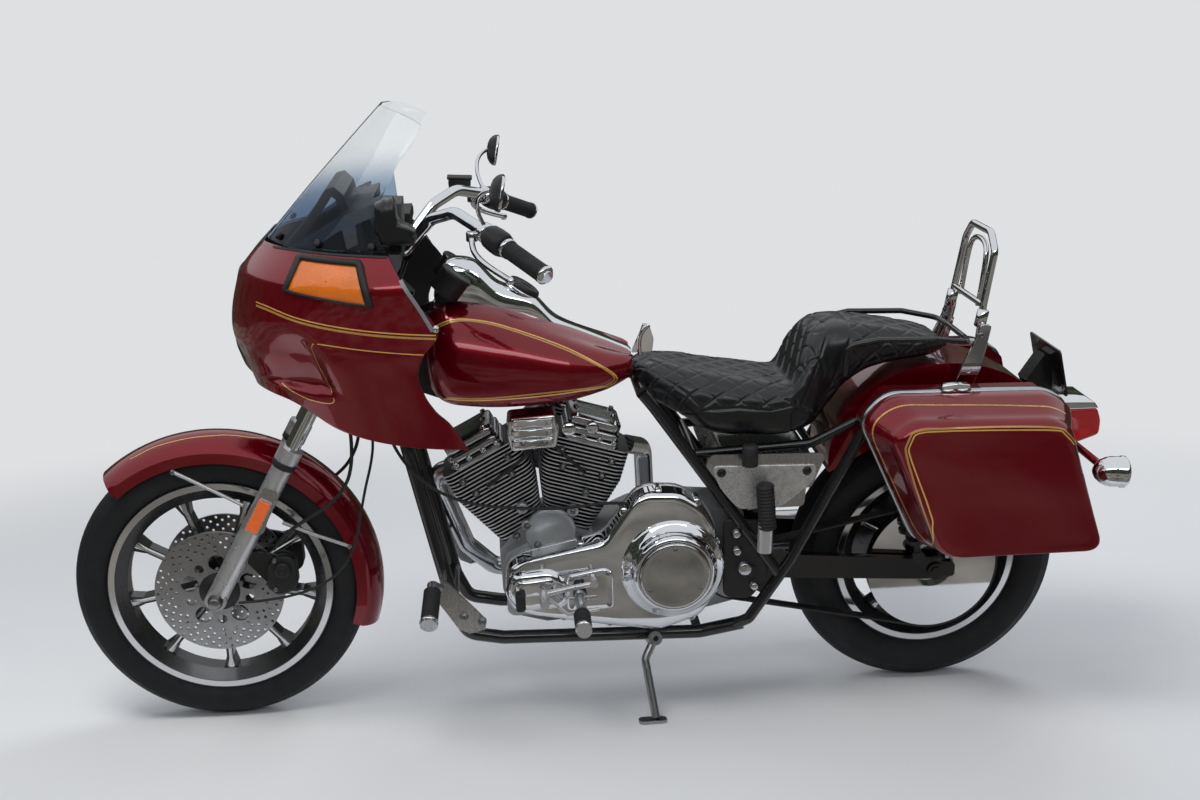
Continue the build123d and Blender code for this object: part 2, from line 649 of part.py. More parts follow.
CAM_OUTLINE = [(900, 262), (966, 300), (962, 370), (900, 412), (800, 404), (756, 350), (790, 280)]
with BuildPart() as cam_cover:
    add(slab(CAM_OUTLINE, -CASE_HALF - 34, -CASE_HALF, 20))
    chamfer(cam_cover.faces().sort_by(Axis.Y)[0].edges(), 6)
    for lean_deg in (FRONT_BANK_DEG, REAR_BANK_DEG):
        for spread in (-16, 16):
            lean = radians(lean_deg)
            foot = (CRANK_X + spread + 70 * sin(lean), -CASE_HALF - 18, CRANK_Z + 50)
            head = (CRANK_X + 0.5 * spread + (HEAD_START - 6) * sin(lean), -FIN_HALF - 13,
                    CRANK_Z + (HEAD_START - 6) * cos(lean))
            add(rod(foot, head, 10))
save(cam_cover, "cam_cover")

with BuildPart() as air_cleaner:
    add(puck(868, 610, -168, -112, 88))
    chamfer(air_cleaner.faces().sort_by(Axis.Y)[0].edges(), 12)
    add(puck(868, 610, -112, 10, 26))
    add(cylinders.part, mode=Mode.SUBTRACT)
    add(rocker_boxes.part, mode=Mode.SUBTRACT)
save(air_cleaner, "air_cleaner")

with BuildPart() as coil_cover:
    add(slab([(972, 738), (872, 744), (866, 712), (872, 672), (968, 666), (974, 700)], 84, 150, 8))
    add(slab([(930, 716), (902, 716), (902, 690), (930, 690)], 40, 84))
    add(cylinders.part, mode=Mode.SUBTRACT)
    add(rocker_boxes.part, mode=Mode.SUBTRACT)
save(coil_cover, "coil_cover")

# ---------------------------------------------------------------- exhaust
EXHAUST_R = 22.0
MUFFLER_R = 36.0
MUFFLER_Y = -190.0
# Each muffler: front, rear and height of its axis.
MUFFLERS = ((430, -215, 322), (460, -185, 246))
with BuildPart() as exhaust:
    upper_z = MUFFLERS[0][2]
    lower_z = MUFFLERS[1][2]
    add(pipe([(1090, -60, 566), (1150, -112, 530), (1084, -150, 330), (1018, MUFFLER_Y, lower_z + 4),
              (900, MUFFLER_Y, lower_z), (462, MUFFLER_Y, lower_z)], [44, 60, 40, 60], EXHAUST_R))
    add(pipe([(700, -60, 600), (650, -150, 560), (640, MUFFLER_Y, 380), (560, MUFFLER_Y, upper_z),
              (432, MUFFLER_Y, upper_z)], [50, 60, 40], EXHAUST_R))
    for front, rear, height in MUFFLERS:
        add(rod((front, MUFFLER_Y, height), (rear + 30, MUFFLER_Y, height), MUFFLER_R))
        with BuildSketch(Plane(origin=(front, MUFFLER_Y, height), z_dir=(1, 0, 0))):
            Circle(MUFFLER_R)
        extrude(amount=40, taper=20)
        add(rod((rear + 30, MUFFLER_Y, height), (rear, MUFFLER_Y, height), 24, 20))
    add(slab([(120, 250), (180, 250), (180, 318), (120, 318)], MUFFLER_Y - 5, MUFFLER_Y + 5))
    add(cylinders.part, mode=Mode.SUBTRACT)
    add(frame_cradle.part, mode=Mode.SUBTRACT)
save(exhaust, "exhaust")

# ---------------------------------------------------------------- swing arm, shocks, belt
with BuildPart() as swing_arm:
    arm = [(PIVOT_X + 26, PIVOT_Z + 16), (PIVOT_X + 26, PIVOT_Z - 22), (330, 318), (20, 298),
           (-46, 302), (-46, 336), (60, 350), (330, 376)]
    for side in (-1, 1):
        low, high = sorted((side * ARM_INNER_Y, side * (ARM_INNER_Y + ARM_THICK)))
        add(slab(arm, low, high, 9))
    add(rod((384, -ARM_INNER_Y, PIVOT_Z - 2), (384, ARM_INNER_Y, PIVOT_Z - 2), 18))
    add(puck(0, REAR_TYRE_R, -134, 134, AXLE_R))
    for side in (-1, 1):
        low, high = sorted((side * ARM_INNER_Y, side * (STRUT_Y + 10)))
        add(puck(PIVOT_X, PIVOT_Z, low, high, 14))
    for side in (-1, 1):
        low, high = sorted((side * (ARM_INNER_Y + ARM_THICK), side * 130))
        add(puck(0, REAR_TYRE_R, low, high, 20))
    add(frame_main.part, mode=Mode.SUBTRACT)
save(swing_arm, "swing_arm")

SHOCK_Y = 129.0
with BuildPart() as shocks:
    for side in (-1, 1):
        low, high = (46, side * SHOCK_Y, 372), (100, side * SHOCK_Y, 650)
        add(rod(low, high, 8))
        for turn in range(11):
            start = Vector(*low) + (Vector(*high) - Vector(*low)) * ((turn + 1.0) / 12.5)
            end = start + (Vector(*high) - Vector(*low)) * 0.035
            add(rod(tuple(start), tuple(end), 21))
        low_y, high_y = sorted((side * (SHOCK_Y - 5.4), side * (SHOCK_Y + 10)))
        add(puck(44, 358, low_y, high_y, 14))
        low_y, high_y = sorted((side * (SHOCK_Y - 14), side * (SHOCK_Y + 10)))
        add(puck(102, 660, low_y, high_y, 14))
    add(frame_rear.part, mode=Mode.SUBTRACT)
save(shocks, "shocks")

with BuildPart() as drive_belt:
    inner_rear = PULLEY_R + BELT_GAP
    inner_front = SPROCKET_R + 0.2
    with BuildSketch(side_plane(BELT_INNER_Y)):
        for grow, mode in ((BELT_THICK, Mode.ADD), (0.0, Mode.SUBTRACT)):
            with BuildSketch(mode=Mode.PRIVATE) as loop:
                with Locations((0, REAR_TYRE_R)):
                    Circle(inner_rear + grow)
                with Locations((SPROCKET_X, SPROCKET_Z)):
                    Circle(inner_front + grow)
                make_hull()
            add(loop.sketch, mode=mode)
    extrude(amount=-BELT_WIDTH)
save(drive_belt, "drive_belt")

with BuildPart() as rear_pulley:
    add(puck(0, REAR_TYRE_R, BELT_INNER_Y - 1, BELT_INNER_Y + BELT_WIDTH, PULLEY_R, 52))
    add(puck(0, REAR_TYRE_R, 58, BELT_INNER_Y + 8, 60, AXLE_R + SPIN_FIT))
    add(puck(0, REAR_TYRE_R, BELT_INNER_Y + 8, BELT_INNER_Y + BELT_WIDTH - 8, PULLEY_R - 18, 56),
        mode=Mode.SUBTRACT)
    add(puck(0, REAR_TYRE_R, BELT_INNER_Y, BELT_INNER_Y + 8, 56, AXLE_R + SPIN_FIT))
save(rear_pulley, "rear_pulley")

with BuildPart() as rear_disc:
    add(puck(0, REAR_TYRE_R, -82, -82 + DISC_THICK, DISC_R, 40))
    add(puck(0, REAR_TYRE_R, -82 + DISC_THICK, -58, 56, AXLE_R + SPIN_FIT))
save(rear_disc, "rear_disc")

# ---------------------------------------------------------------- fairing
# Each level: height, front on the centre line, half-width part way back, half-width at the rear.
FAIRING_LEVELS = ((690, NOSE_X - 91, 268, 300), (850, NOSE_X - 34, 300, 322),
                  (960, NOSE_X, 322, 330), (1069, NOSE_X - 23, 318, 322),
                  (1150, NOSE_X - 91, 264, 276), (1262, NOSE_X - 201, 214, 236))
FAIRING_REAR_X = HEAD_X - 60.0
FAIRING_MID_X = HEAD_X + 230.0
NOSE_HALF = 92.0


def from_head(points):
    """Points given as distances ahead of the steering head's datum, in the bike's own places."""
    return [(HEAD_X + point[0], *point[1:]) for point in points]


def fairing_body(outset):
    """The fairing's outer form as a solid, grown or shrunk by an outset."""
    with BuildPart() as body:
        for height, front, middle, rear in FAIRING_LEVELS:
            with BuildSketch(Plane.XY.offset(height)):
                with BuildLine():
                    nose = (front + outset, NOSE_HALF)
                    left = (FAIRING_REAR_X, rear + outset)
                    mid_x = FAIRING_MID_X - (NOSE_X - front) * 0.4
                    ThreePointArc(nose, (mid_x + outset * 0.3, middle + outset), left)
                    Line(left, (left[0], -left[1]))
                    ThreePointArc((left[0], -left[1]), (mid_x + outset * 0.3, -middle - outset),
                                  (nose[0], -nose[1]))
                    Line((nose[0], -nose[1]), nose)
                make_face()
        loft(ruled=True)
    return body.part


FAIRING_SIDE = from_head([(540, 1142), (99, 1137), (56, 1063), (7, 985), (37, 943), (51, 901),
                          (41, 859), (19, 819), (-6, 792), (-42, 728), (100, 745), (181, 760),
                          (240, 780), (284, 808), (336, 826), (540, 834)])
SIGNAL_OUTLINE = from_head([(299, 1068), (267, 1122), (162, 1122), (138, 1046)])
LAMP_BACK = NOSE_X - 113.0
LAMP_Z = 952.0
LAMP_WIDTH = 184.0
LAMP_HEIGHT = 232.0

fairing_outer = fairing_body(0)
fairing_inner = fairing_body(-SHELL_WALL)
with BuildPart() as lamp_prism:
    with BuildSketch(cross_plane(LAMP_BACK)):
        with Locations((0, LAMP_Z)):
            RectangleRounded(LAMP_WIDTH, LAMP_HEIGHT, 84)
    extrude(amount=200)

with BuildPart() as fairing_shell:
    add(fairing_outer)
    add(fairing_inner, mode=Mode.SUBTRACT)
    add(slab(FAIRING_SIDE, -400, 400), mode=Mode.INTERSECT)
    add(lamp_prism.part, mode=Mode.SUBTRACT)
    add(slab(SIGNAL_OUTLINE, 200, 400), mode=Mode.SUBTRACT)
    add(slab(SIGNAL_OUTLINE, -400, -200), mode=Mode.SUBTRACT)
    for side in (-1, 1):
        add(rod((HEAD_X + 104, side * 97, 702), (HEAD_X + 90, side * 318, 800), 7))
    add(frame_cradle.part, mode=Mode.SUBTRACT)
    add(fairing_body(12), mode=Mode.INTERSECT)
save(fairing_shell, "fairing_shell")

# Each level of the screen: height, front, half-width of the flat front, a point part way back and
# the rear edge, each as (place along the bike, half-width).
SHIELD_LEVELS = ((1138, HEAD_X + 364, 78, (HEAD_X + 272, 214), (HEAD_X + 106, 272)),
                 (1240, HEAD_X + 272, 62, (HEAD_X + 204, 168), (HEAD_X + 111, 219)),
                 (1330, HEAD_X + 187, 50, (HEAD_X + 140, 128), (HEAD_X + 78, 176)),
                 (1406, HEAD_X + 114, 40, (HEAD_X + 86, 92), (HEAD_X + 46, 138)))


def shield_body(inset, back):
    """The space inside the screen as a solid, closed by a flat back."""
    with BuildPart() as body:
        for height, front, flat, middle, rear in SHIELD_LEVELS:
            nose = (front - inset, flat)
            mid = (middle[0] - inset * 0.6, middle[1] - inset * 0.8)
            edge = (rear[0], rear[1] - inset)
            with BuildSketch(Plane.XY.offset(height)):
                with BuildLine():
                    ThreePointArc(nose, mid, edge)
                    Polyline(edge, (back, edge[1]), (back, -edge[1]), (edge[0], -edge[1]))
                    ThreePointArc((edge[0], -edge[1]), (mid[0], -mid[1]), (nose[0], -nose[1]))
                    Line((nose[0], -nose[1]), nose)
                make_face()
        loft(ruled=True)
    return body.part


DASH_SIDE = from_head([(340, 1112), (205, 1197), (119, 1229), (72, 1226), (74, 1118), (96, 1080),
                       (122, 1080), (98, 1125), (96, 1202), (121, 1205), (202, 1173), (330, 1092)])
# The instrument hood, a bent sheet under the screen.
HOOD_SIDE = [(330, 1118), (266, 1194), (230, 1246), (212, 1250), (194, 1232), (182, 1190),
             (200, 1184), (211, 1224), (220, 1230), (250, 1186), (300, 1122)]
HOOD_HALF = 124.0
SHIELD_BASE = SHIELD_LEVELS[0][0]
with BuildPart() as dash_space:
    add(fairing_inner)
    with Locations((HEAD_X + 200, 0, 1500)):
        Box(1000, 1000, 2 * (1500 - SHIELD_BASE), mode=Mode.SUBTRACT)
    add(shield_body(SHIELD_THICK + 3, HEAD_X))
with BuildPart() as fairing_dash:
    add(slab(DASH_SIDE, -400, 400))
    with Locations((HEAD_X + 50, 0, 1140)):
        Box(170, 230, 400, mode=Mode.SUBTRACT)
    for side in (-1, 1):
        with BuildSketch(Plane(origin=(HEAD_X + 162, side * 56, 1150), z_dir=(-1, 0, 0.5))):
            Circle(44)
        extrude(amount=26)
    add(slab(from_head([(150, 1088), (168, 1088), (196, 1190), (168, 1205)]), -250, 250))
    add(slab(from_head(HOOD_SIDE), -HOOD_HALF, HOOD_HALF))
    # The left wall carries a deep pocket; the right one stays low.
    with Locations((HEAD_X + 80, -260, 1250)):
        Box(164, 290, 200, mode=Mode.SUBTRACT)
    add(dash_space.part, mode=Mode.INTERSECT)
save(fairing_dash, "fairing_dash")

with BuildPart() as headlamp:
    with BuildSketch(side_plane(-LAMP_WIDTH)):
        with BuildLine():
            front_top = (NOSE_X - 19, 1070)
            front_foot = (NOSE_X - 36, 834)
            Polyline(front_foot, (NOSE_X - 89, 834), (NOSE_X - 89, 1070), front_top)
            ThreePointArc(front_top, (NOSE_X + 3, 962), front_foot)
        make_face()
    extrude(amount=-2 * LAMP_WIDTH)
    with BuildSketch(cross_plane(LAMP_BACK)):
        with Locations((0, LAMP_Z)):
            RectangleRounded(LAMP_WIDTH - 1, LAMP_HEIGHT - 1, 83)
    extrude(amount=200, mode=Mode.INTERSECT)
save(headlamp, "headlamp")

with BuildPart() as front_signals:
    add(fairing_body(7))
    add(fairing_inner, mode=Mode.SUBTRACT)
    signal = [(x + 0.5 * (-1 if x > HEAD_X + 200 else 1), z - 0.5 * (1 if z > 1100 else -1))
              for x, z in SIGNAL_OUTLINE]
    with BuildPart(mode=Mode.PRIVATE) as signal_prisms:
        add(slab(signal, 200, 400))
        add(slab(signal, -400, -200))
    add(signal_prisms.part, mode=Mode.INTERSECT)
save(front_signals, "front_signals")

with BuildPart() as windshield:
    add(shield_body(0, HEAD_X))
    add(shield_body(SHIELD_THICK, HEAD_X), mode=Mode.SUBTRACT)
    add(slab(from_head([(540, 1000), (540, 1500), (0, 1500), (30, 1380), (75, 1315), (111, 1240),
                        (106, 1138), (106, 1000)]), -400, 400), mode=Mode.INTERSECT)
    with BuildPart(mode=Mode.PRIVATE) as skirt:
        add(fairing_inner)
        add(fairing_body(-SHELL_WALL - SHIELD_THICK), mode=Mode.SUBTRACT)
        add(slab(from_head([(106, 1112), (540, 1112), (540, 1140), (106, 1140)]), -400, 400),
            mode=Mode.INTERSECT)
    add(skirt.part)
    add(fairing_shell.part, mode=Mode.SUBTRACT)
    add(fairing_dash.part, mode=Mode.SUBTRACT)
save(windshield, "windshield")

# ---------------------------------------------------------------- tank and console
# Each station: place along the bike, half-width at the base, half-width at the side, base height,
# side height, shoulder half-width, shoulder height, top height.
TANK_STATIONS = ((1152, 66, 84, 812, 872, 56, 924, 938),
                 (1126, 104, 130, 778, 876, 78, 960, 976),
                 (1086, 124, 150, 764, 880, 84, 974, 990),
                 (980, 132, 158, 757, 872, 84, 956, 972),
                 (860, 126, 152, 762, 846, 80, 912, 926),
                 (760, 104, 130, 780, 826, 68, 870, 882),
                 (692, 66, 88, 804, 822, 44, 840, 850))
with BuildPart() as tank:
    for x, base_half, side_half, base_z, side_z, top_half, top_z, crest_z in TANK_STATIONS:
        with BuildSketch(cross_plane(x)):
            with BuildLine():
                Line((-base_half, base_z), (base_half, base_z))
                ThreePointArc((base_half, base_z), (side_half, side_z), (top_half, top_z))
                ThreePointArc((top_half, top_z), (0, crest_z), (-top_half, top_z))
                ThreePointArc((-top_half, top_z), (-side_half, side_z), (-base_half, base_z))
            make_face()
    loft()
    add(slab([(1170, 700), (1170, 931), (640, 838), (640, 700)], -46, 46), mode=Mode.SUBTRACT)
    add(rocker_boxes.part, mode=Mode.SUBTRACT)
    add(frame_main.part, mode=Mode.SUBTRACT)
save(tank, "tank")

CONSOLE_SIDE = [(1122, 940), (1120, 1052), (1106, 1064), (1044, 1072), (980, 1008), (912, 984),
                (858, 930), (780, 893), (690, 849), (690, 820)]
with BuildPart() as tank_console:
    add(slab(CONSOLE_SIDE, -52, 52))
    with BuildSketch(Plane.XY):
        with BuildLine():
            FilletPolyline((1124, -52), (1124, 52), (980, 50), (690, 26), (690, -26), (980, -50),
                           radius=12, close=True)
        make_face()
    extrude(amount=1200, mode=Mode.INTERSECT)
    add(tank.part, mode=Mode.SUBTRACT)
    add(slab([(1140, 700), (1140, 930), (640, 842), (640, 700)], -60, 60), mode=Mode.SUBTRACT)
    with BuildSketch(Plane(origin=(940, 0, 985), z_dir=(-0.55, 0, 0.84))):
        Circle(36)
    extrude(amount=26)
save(tank_console, "tank_console")

# ---------------------------------------------------------------- seat, fender, covers
SEAT_SIDE = [(688, 836), (669, 843), (624, 830), (533, 809), (441, 794), (372, 787), (330, 812),
             (300, 862), (272, 902), (235, 905), (166, 899), (49, 873), (-12, 855), (-32, 838),
             (-16, 822), (95, 814), (165, 796), (216, 764), (250, 716), (287, 668), (372, 652),
             (462, 656), (530, 666), (574, 703), (641, 741), (684, 766), (698, 806)]
SEAT_PLAN = [(702, -62), (702, 62), (640, 112), (550, 150), (420, 158), (310, 148), (262, 118),
             (60, 112), (-34, 84), (-34, -84), (60, -112), (262, -118), (310, -148), (420, -158),
             (550, -150), (640, -112)]
with BuildPart() as seat:
    add(slab(SEAT_SIDE, -200, 200))
    with BuildSketch(Plane.XY):
        Polygon(*SEAT_PLAN, align=None)
    extrude(amount=1200, mode=Mode.INTERSECT)
    add(tank.part, mode=Mode.SUBTRACT)
    add(tank_console.part, mode=Mode.SUBTRACT)
    add(frame_main.part, mode=Mode.SUBTRACT)
    add(frame_rear.part, mode=Mode.SUBTRACT)
save(seat, "seat")

REAR_FENDER_HALF = 90.0
# The fender's outer line, seen from the side: ahead of the rear axle and above it.
FENDER_LINE = [(250, 242), (228, 362), (140, 450), (-40, 488), (-190, 438), (-310, 302),
               (-352, 152)]


def fender_line(inset):
    """The rear fender's line, inset and kept its gap from the tyre's tread."""
    points = []
    for ahead, above in FENDER_LINE:
        reach = (ahead ** 2 + above ** 2) ** 0.5
        scale = (reach + REAR_TYRE_R - 318.0 - inset) / reach
        points.append((ahead * scale, REAR_TYRE_R + above * scale))
    return points


with BuildPart() as fender_block:
    outer_line = fender_line(0.0)
    with BuildSketch(side_plane(-REAR_FENDER_HALF)):
        with BuildLine():
            Spline(*outer_line)
            Polyline(outer_line[-1], (-190, 560), (0, 640), (140, 620), outer_line[0])
        make_face()
    extrude(amount=-2 * REAR_FENDER_HALF)
with BuildPart() as rear_fender:
    add(fender_block.part)
    with BuildSketch(side_plane(4 - REAR_FENDER_HALF)):
        with BuildLine():
            inner_line = fender_line(5.0)
            Spline(*inner_line)
            Polyline(inner_line[-1], (inner_line[-1][0], 380), (inner_line[0][0], 380),
                     inner_line[0])
        make_face()
    extrude(amount=8 - 2 * REAR_FENDER_HALF, mode=Mode.SUBTRACT)
    for side in (-1, 1):
        for x in (150, -110):
            low, high = sorted((side * (REAR_FENDER_HALF - 2), side * 112))
            add(puck(x, 716, low, high, 9))
    add(frame_rear.part, mode=Mode.SUBTRACT)
    add(seat.part, mode=Mode.SUBTRACT)
save(rear_fender, "rear_fender")

COVER_OUTLINE = [(546, 638), (270, 630), (304, 550), (478, 547)]
with BuildPart() as side_covers:
    add(slab([(500, 630), (300, 630), (312, 492), (500, 492)], -118, 118, 12))
    for side in (-1, 1):
        low, high = sorted((side * 147, side * 152))
        add(slab(COVER_OUTLINE, low, high, 12))
        for x, z in ((505, 600), (318, 600)):
            low, high = sorted((side * 110, side * 156))
            add(puck(x, z, low, high, 8))
    for taken in (frame_main, frame_cradle, frame_rear, seat):
        add(taken.part, mode=Mode.SUBTRACT)
save(side_covers, "side_covers")

# ---------------------------------------------------------------- saddlebags
# Outlines seen from the side, front top first: at the seam and on the outer face.
BAG_SEAM = [(160, 783), (214, 717), (30, 437), (-302, 437), (-230, 748), (-186, 776)]
BAG_FACE = [(114, 741), (158, 718), (38, 453), (-286, 453), (-189, 712), (-154, 730)]
BAG_CORNER = 18.0


def bag_block(y_seam, y_face, inset):
    """The bag's outer half as a solid, shrunk by an inset."""
    with BuildPart() as block:
        for y, outline in ((y_seam, BAG_SEAM), (y_face, BAG_FACE)):
            with BuildSketch(side_plane(y)):
                with BuildLine():
                    FilletPolyline(*outline, radius=BAG_CORNER, close=True)
                make_face()
                if inset:
                    offset(amount=-inset, mode=Mode.REPLACE)
        loft()
    return block.part


def bag_lid(side):
    """The hinged outer half, open towards the bike."""
    with BuildPart() as lid:
        add(bag_block(BAG_SEAM_Y + BAG_GAP, BAG_FACE_Y, 0))
        add(bag_block(BAG_SEAM_Y + BAG_GAP, BAG_FACE_Y - BAG_WALL, BAG_WALL), mode=Mode.SUBTRACT)
        if side < 0:
            mirror(about=Plane.XZ, mode=Mode.REPLACE)
    return lid.part


with BuildPart() as bag_shells:
    with BuildSketch(side_plane(BAG_INNER_Y)):
        with BuildLine():
            FilletPolyline(*BAG_SEAM, radius=BAG_CORNER, close=True)
        make_face()
    extrude(amount=BAG_INNER_Y - BAG_SEAM_Y)
    with BuildSketch(side_plane(BAG_INNER_Y + BAG_WALL)):
        with BuildLine():
            FilletPolyline(*BAG_SEAM, radius=BAG_CORNER, close=True)
        make_face()
        offset(amount=-BAG_WALL, mode=Mode.REPLACE)
    extrude(amount=BAG_INNER_Y - BAG_SEAM_Y, mode=Mode.SUBTRACT)
    for x, z in ((120, 700), (-150, 700)):
        add(puck(x, z, 120, BAG_INNER_Y + 2, 10))
    mirror(about=Plane.XZ)
    for taken in (frame_main, frame_cradle, frame_rear, shocks, side_covers):
        add(taken.part, mode=Mode.SUBTRACT)
save(bag_shells, "bag_shells")

with BuildPart() as bag_lid_left:
    add(bag_lid(1))
save(bag_lid_left, "bag_lid_left")
with BuildPart() as bag_lid_right:
    add(bag_lid(-1))
save(bag_lid_right, "bag_lid_right")

# ---------------------------------------------------------------- sissy bar, lamps, plate
with BuildPart() as sissy_bar:
    loop = [(-34, 118, 736), (-74, 108, 860), (-84, 100, 940), (-104, 96, 1060), (-106, 60, 1096),
            (-106, -60, 1096), (-104, -96, 1060), (-84, -100, 940), (-74, -108, 860),
            (-34, -118, 736)]
    add(pipe(loop, 24, 8))
    for side in (-1, 1):
        low, high = sorted((side * 112, side * 124))
        add(slab([(-18, 738), (-60, 734), (-92, 860), (-68, 868)], low, high))
    add(rod((-84, -100, 940), (-84, 100, 940), 7))
    for taken in (frame_rear, rear_fender, seat):
        add(taken.part, mode=Mode.SUBTRACT)
save(sissy_bar, "sissy_bar")

with BuildPart() as grab_rail:
    rail = [(228, 126, 800), (226, 132, 868), (160, 136, 880), (30, 136, 876), (-48, 116, 862),
            (-60, 60, 858), (-60, -60, 858), (-48, -116, 862), (30, -136, 876), (160, -136, 880),
            (226, -132, 868), (228, -126, 800)]
    add(pipe(rail, 24, 6.5))
    for taken in (seat, sissy_bar, frame_rear):
        add(taken.part, mode=Mode.SUBTRACT)
save(grab_rail, "grab_rail")

with BuildPart() as tail_lamp:
    with BuildSketch(side_plane(-62)):
        with BuildLine():
            FilletPolyline((-270, 694), (-372, 690), (-388, 664), (-392, 610), (-340, 592),
                           (-300, 610), radius=12, close=True)
        make_face()
    extrude(amount=-124)
    add(fender_block.part, mode=Mode.SUBTRACT)
save(tail_lamp, "tail_lamp")

with BuildPart() as rear_signals:
    add(rod((-356, -190, 578), (-356, 190, 578), 8))
    for side in (-1, 1):
        add(rod((-346, side * 205, 576), (-398, side * 205, 572), 33))
        add(rod((-330, side * 205, 577), (-346, side * 205, 576), 22))
    add(slab([(-330, 596), (-372, 596), (-368, 560), (-334, 560)], -40, 40))
    for taken in (fender_block, tail_lamp):
        add(taken.part, mode=Mode.SUBTRACT)
save(rear_signals, "rear_signals")

PLATE_HOLE_R = 3.5
PLATE_HOLE_SPACING = 146.0
plate_plane = Plane(origin=(-282, 0, 770), x_dir=(0, 1, 0), z_dir=(-0.97, 0, 0.22))
with BuildPart() as plate_holder:
    with BuildSketch(plate_plane):
        RectangleRounded(184, 112, 8)
        with Locations((PLATE_HOLE_SPACING / 2, 40), (-PLATE_HOLE_SPACING / 2, 40)):
            Circle(PLATE_HOLE_R, mode=Mode.SUBTRACT)
    extrude(amount=4)
    add(slab([(-286, 716), (-266, 716), (-230, 724), (-222, 740), (-262, 800), (-280, 800)], -26, 26))
    with BuildSketch(plate_plane.offset(4)):
        Rectangle(300, 300)
    extrude(amount=60, mode=Mode.SUBTRACT)
    for taken in (fender_block, tail_lamp):
        add(taken.part, mode=Mode.SUBTRACT)
save(plate_holder, "plate_holder")

# ---------------------------------------------------------------- pegs and stand
HIGHWAY_PLATE = from_head([(36, 390), (20, 382), (-60, 288), (-56, 266), (-22, 258), (2, 270),
                           (42, 334)])
HIGHWAY_ARM_X = HEAD_X + 52.0
HIGHWAY_TIP_X = HEAD_X + 60.0
with BuildPart() as highway_pegs:
    for side in (-1, 1):
        low, high = sorted((side * 190, side * 197))
        add(slab(HIGHWAY_PLATE, low, high))
        add(rod((HEAD_X + 34, side * RAIL_Y, 376), (HEAD_X + 30, side * 194, 380), 7))
        add(rod((HEAD_X + 38, side * 194, 372), (HIGHWAY_ARM_X, side * 226, 392), 9))
        add(rod((HIGHWAY_ARM_X, side * 222, 392), (HIGHWAY_TIP_X, side * 318, 352), 13))
        add(rod((HIGHWAY_TIP_X, side * 318, 352), (HIGHWAY_TIP_X + 1, side * 330, 347), 19))
    add(frame_cradle.part, mode=Mode.SUBTRACT)
    add(exhaust.part, mode=Mode.SUBTRACT)
save(highway_pegs, "highway_pegs")

with BuildPart() as foot_controls:
    add(rod((827, PRIMARY_OUTER_Y - 6, 302), (828, 215, 300), 12))
    add(rod((828, 212, 300), (830, 308, 304), 17))
    add(rod((800, PRIMARY_OUTER_Y - 6, 368), (800, 214, 368), 9))
    add(pipe([(800, 206, 368), (850, 210, 362), (912, 216, 352)], 20, 6))
    add(rod((912, 214, 352), (912, 276, 354), 10))
    add(rod((827, -CASE_HALF, 236), (828, -215, 300), 12))
    add(rod((828, -212, 300), (830, -308, 304), 17))
    add(pipe([(790, -205, 262), (860, -230, 270), (930, -240, 330)], 30, 7))
    add(rod((790, -CASE_HALF, 240), (790, -208, 262), 9))
    with Locations(Location((934, -262, 336), (0, -18, 0))):
        Box(66, 52, 8)
    for side in (-1, 1):
        add(rod((415, side * 120, 428), (415, side * 164, 438), 10))
        add(rod((415, side * 186, 416), (411, side * 186, 532), 17))
        add(rod((415, side * 160, 438), (414, side * 188, 446), 12))
    for taken in (frame_cradle, frame_main, exhaust, cam_cover, primary_cover, crankcase,
                  side_covers):
        add(taken.part, mode=Mode.SUBTRACT)
save(foot_controls, "foot_controls")

STAND_FOOT_THICK = 7.0
foot_upright = tuple((UPRIGHT * Pos(STAND_FOOT[0], STAND_FOOT[1], STAND_FOOT_THICK)).position)
foot_plane = Plane(UPRIGHT * Pos(*STAND_FOOT))
with BuildPart() as side_stand:
    px, py, pz = STAND_PIVOT
    add(rod(along_stand_axis(-14), along_stand_axis(14), 16))
    add(pipe([(px + 4, py + 4, pz - 8), (px + 24, py + 22, pz - 40), foot_upright], 30,
             STAND_LEG_R))
    add(rod(along_stand_axis(-20), along_stand_axis(24), STAND_PIN_R + SPIN_FIT),
        mode=Mode.SUBTRACT)
    with BuildSketch(foot_plane):
        with Locations((8, 4)):
            RectangleRounded(64, 30, 12)
    extrude(amount=STAND_FOOT_THICK)
    with BuildSketch(foot_plane):
        Rectangle(400, 400)
    extrude(amount=-40, mode=Mode.SUBTRACT)
save(side_stand, "side_stand")

CLUTCH_ROUTE = [(1236, 150, 728), (1216, 152, 676), (1184, 156, 628), (1140, 158, 588),
                (1086, 160, 560), (1024, 160, 544), (958, 158, 536), (892, 156, 530),
                (828, 152, 530), (770, 146, 534), (716, 138, 528), (672, 128, 508)]
with BuildPart() as clutch_cable:
    add(cord(CLUTCH_ROUTE, 7.0, "clutch_cable"))
    add(primary_cover.part, mode=Mode.SUBTRACT)
save(clutch_cable, "clutch_cable")
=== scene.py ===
from math import cos, pi, radians, sin

import bmesh
import bpy
import numpy as np
from mathutils import Matrix, Vector
from mathutils.bvhtree import BVHTree


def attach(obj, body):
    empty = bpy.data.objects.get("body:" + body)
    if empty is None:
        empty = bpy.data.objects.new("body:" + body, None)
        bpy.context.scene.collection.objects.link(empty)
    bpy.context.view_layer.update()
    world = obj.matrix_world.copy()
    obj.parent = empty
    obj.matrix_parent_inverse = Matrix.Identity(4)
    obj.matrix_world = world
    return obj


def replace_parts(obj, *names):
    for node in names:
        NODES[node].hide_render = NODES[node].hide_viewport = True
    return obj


# Touring cruiser motorcycle.  New pieces are drawn upright in millimetres, as the CAD is, and
# leaned onto the side stand by their object's matrix, so their local axes are the bike's own:
# X forward, Y to its left, Z up.

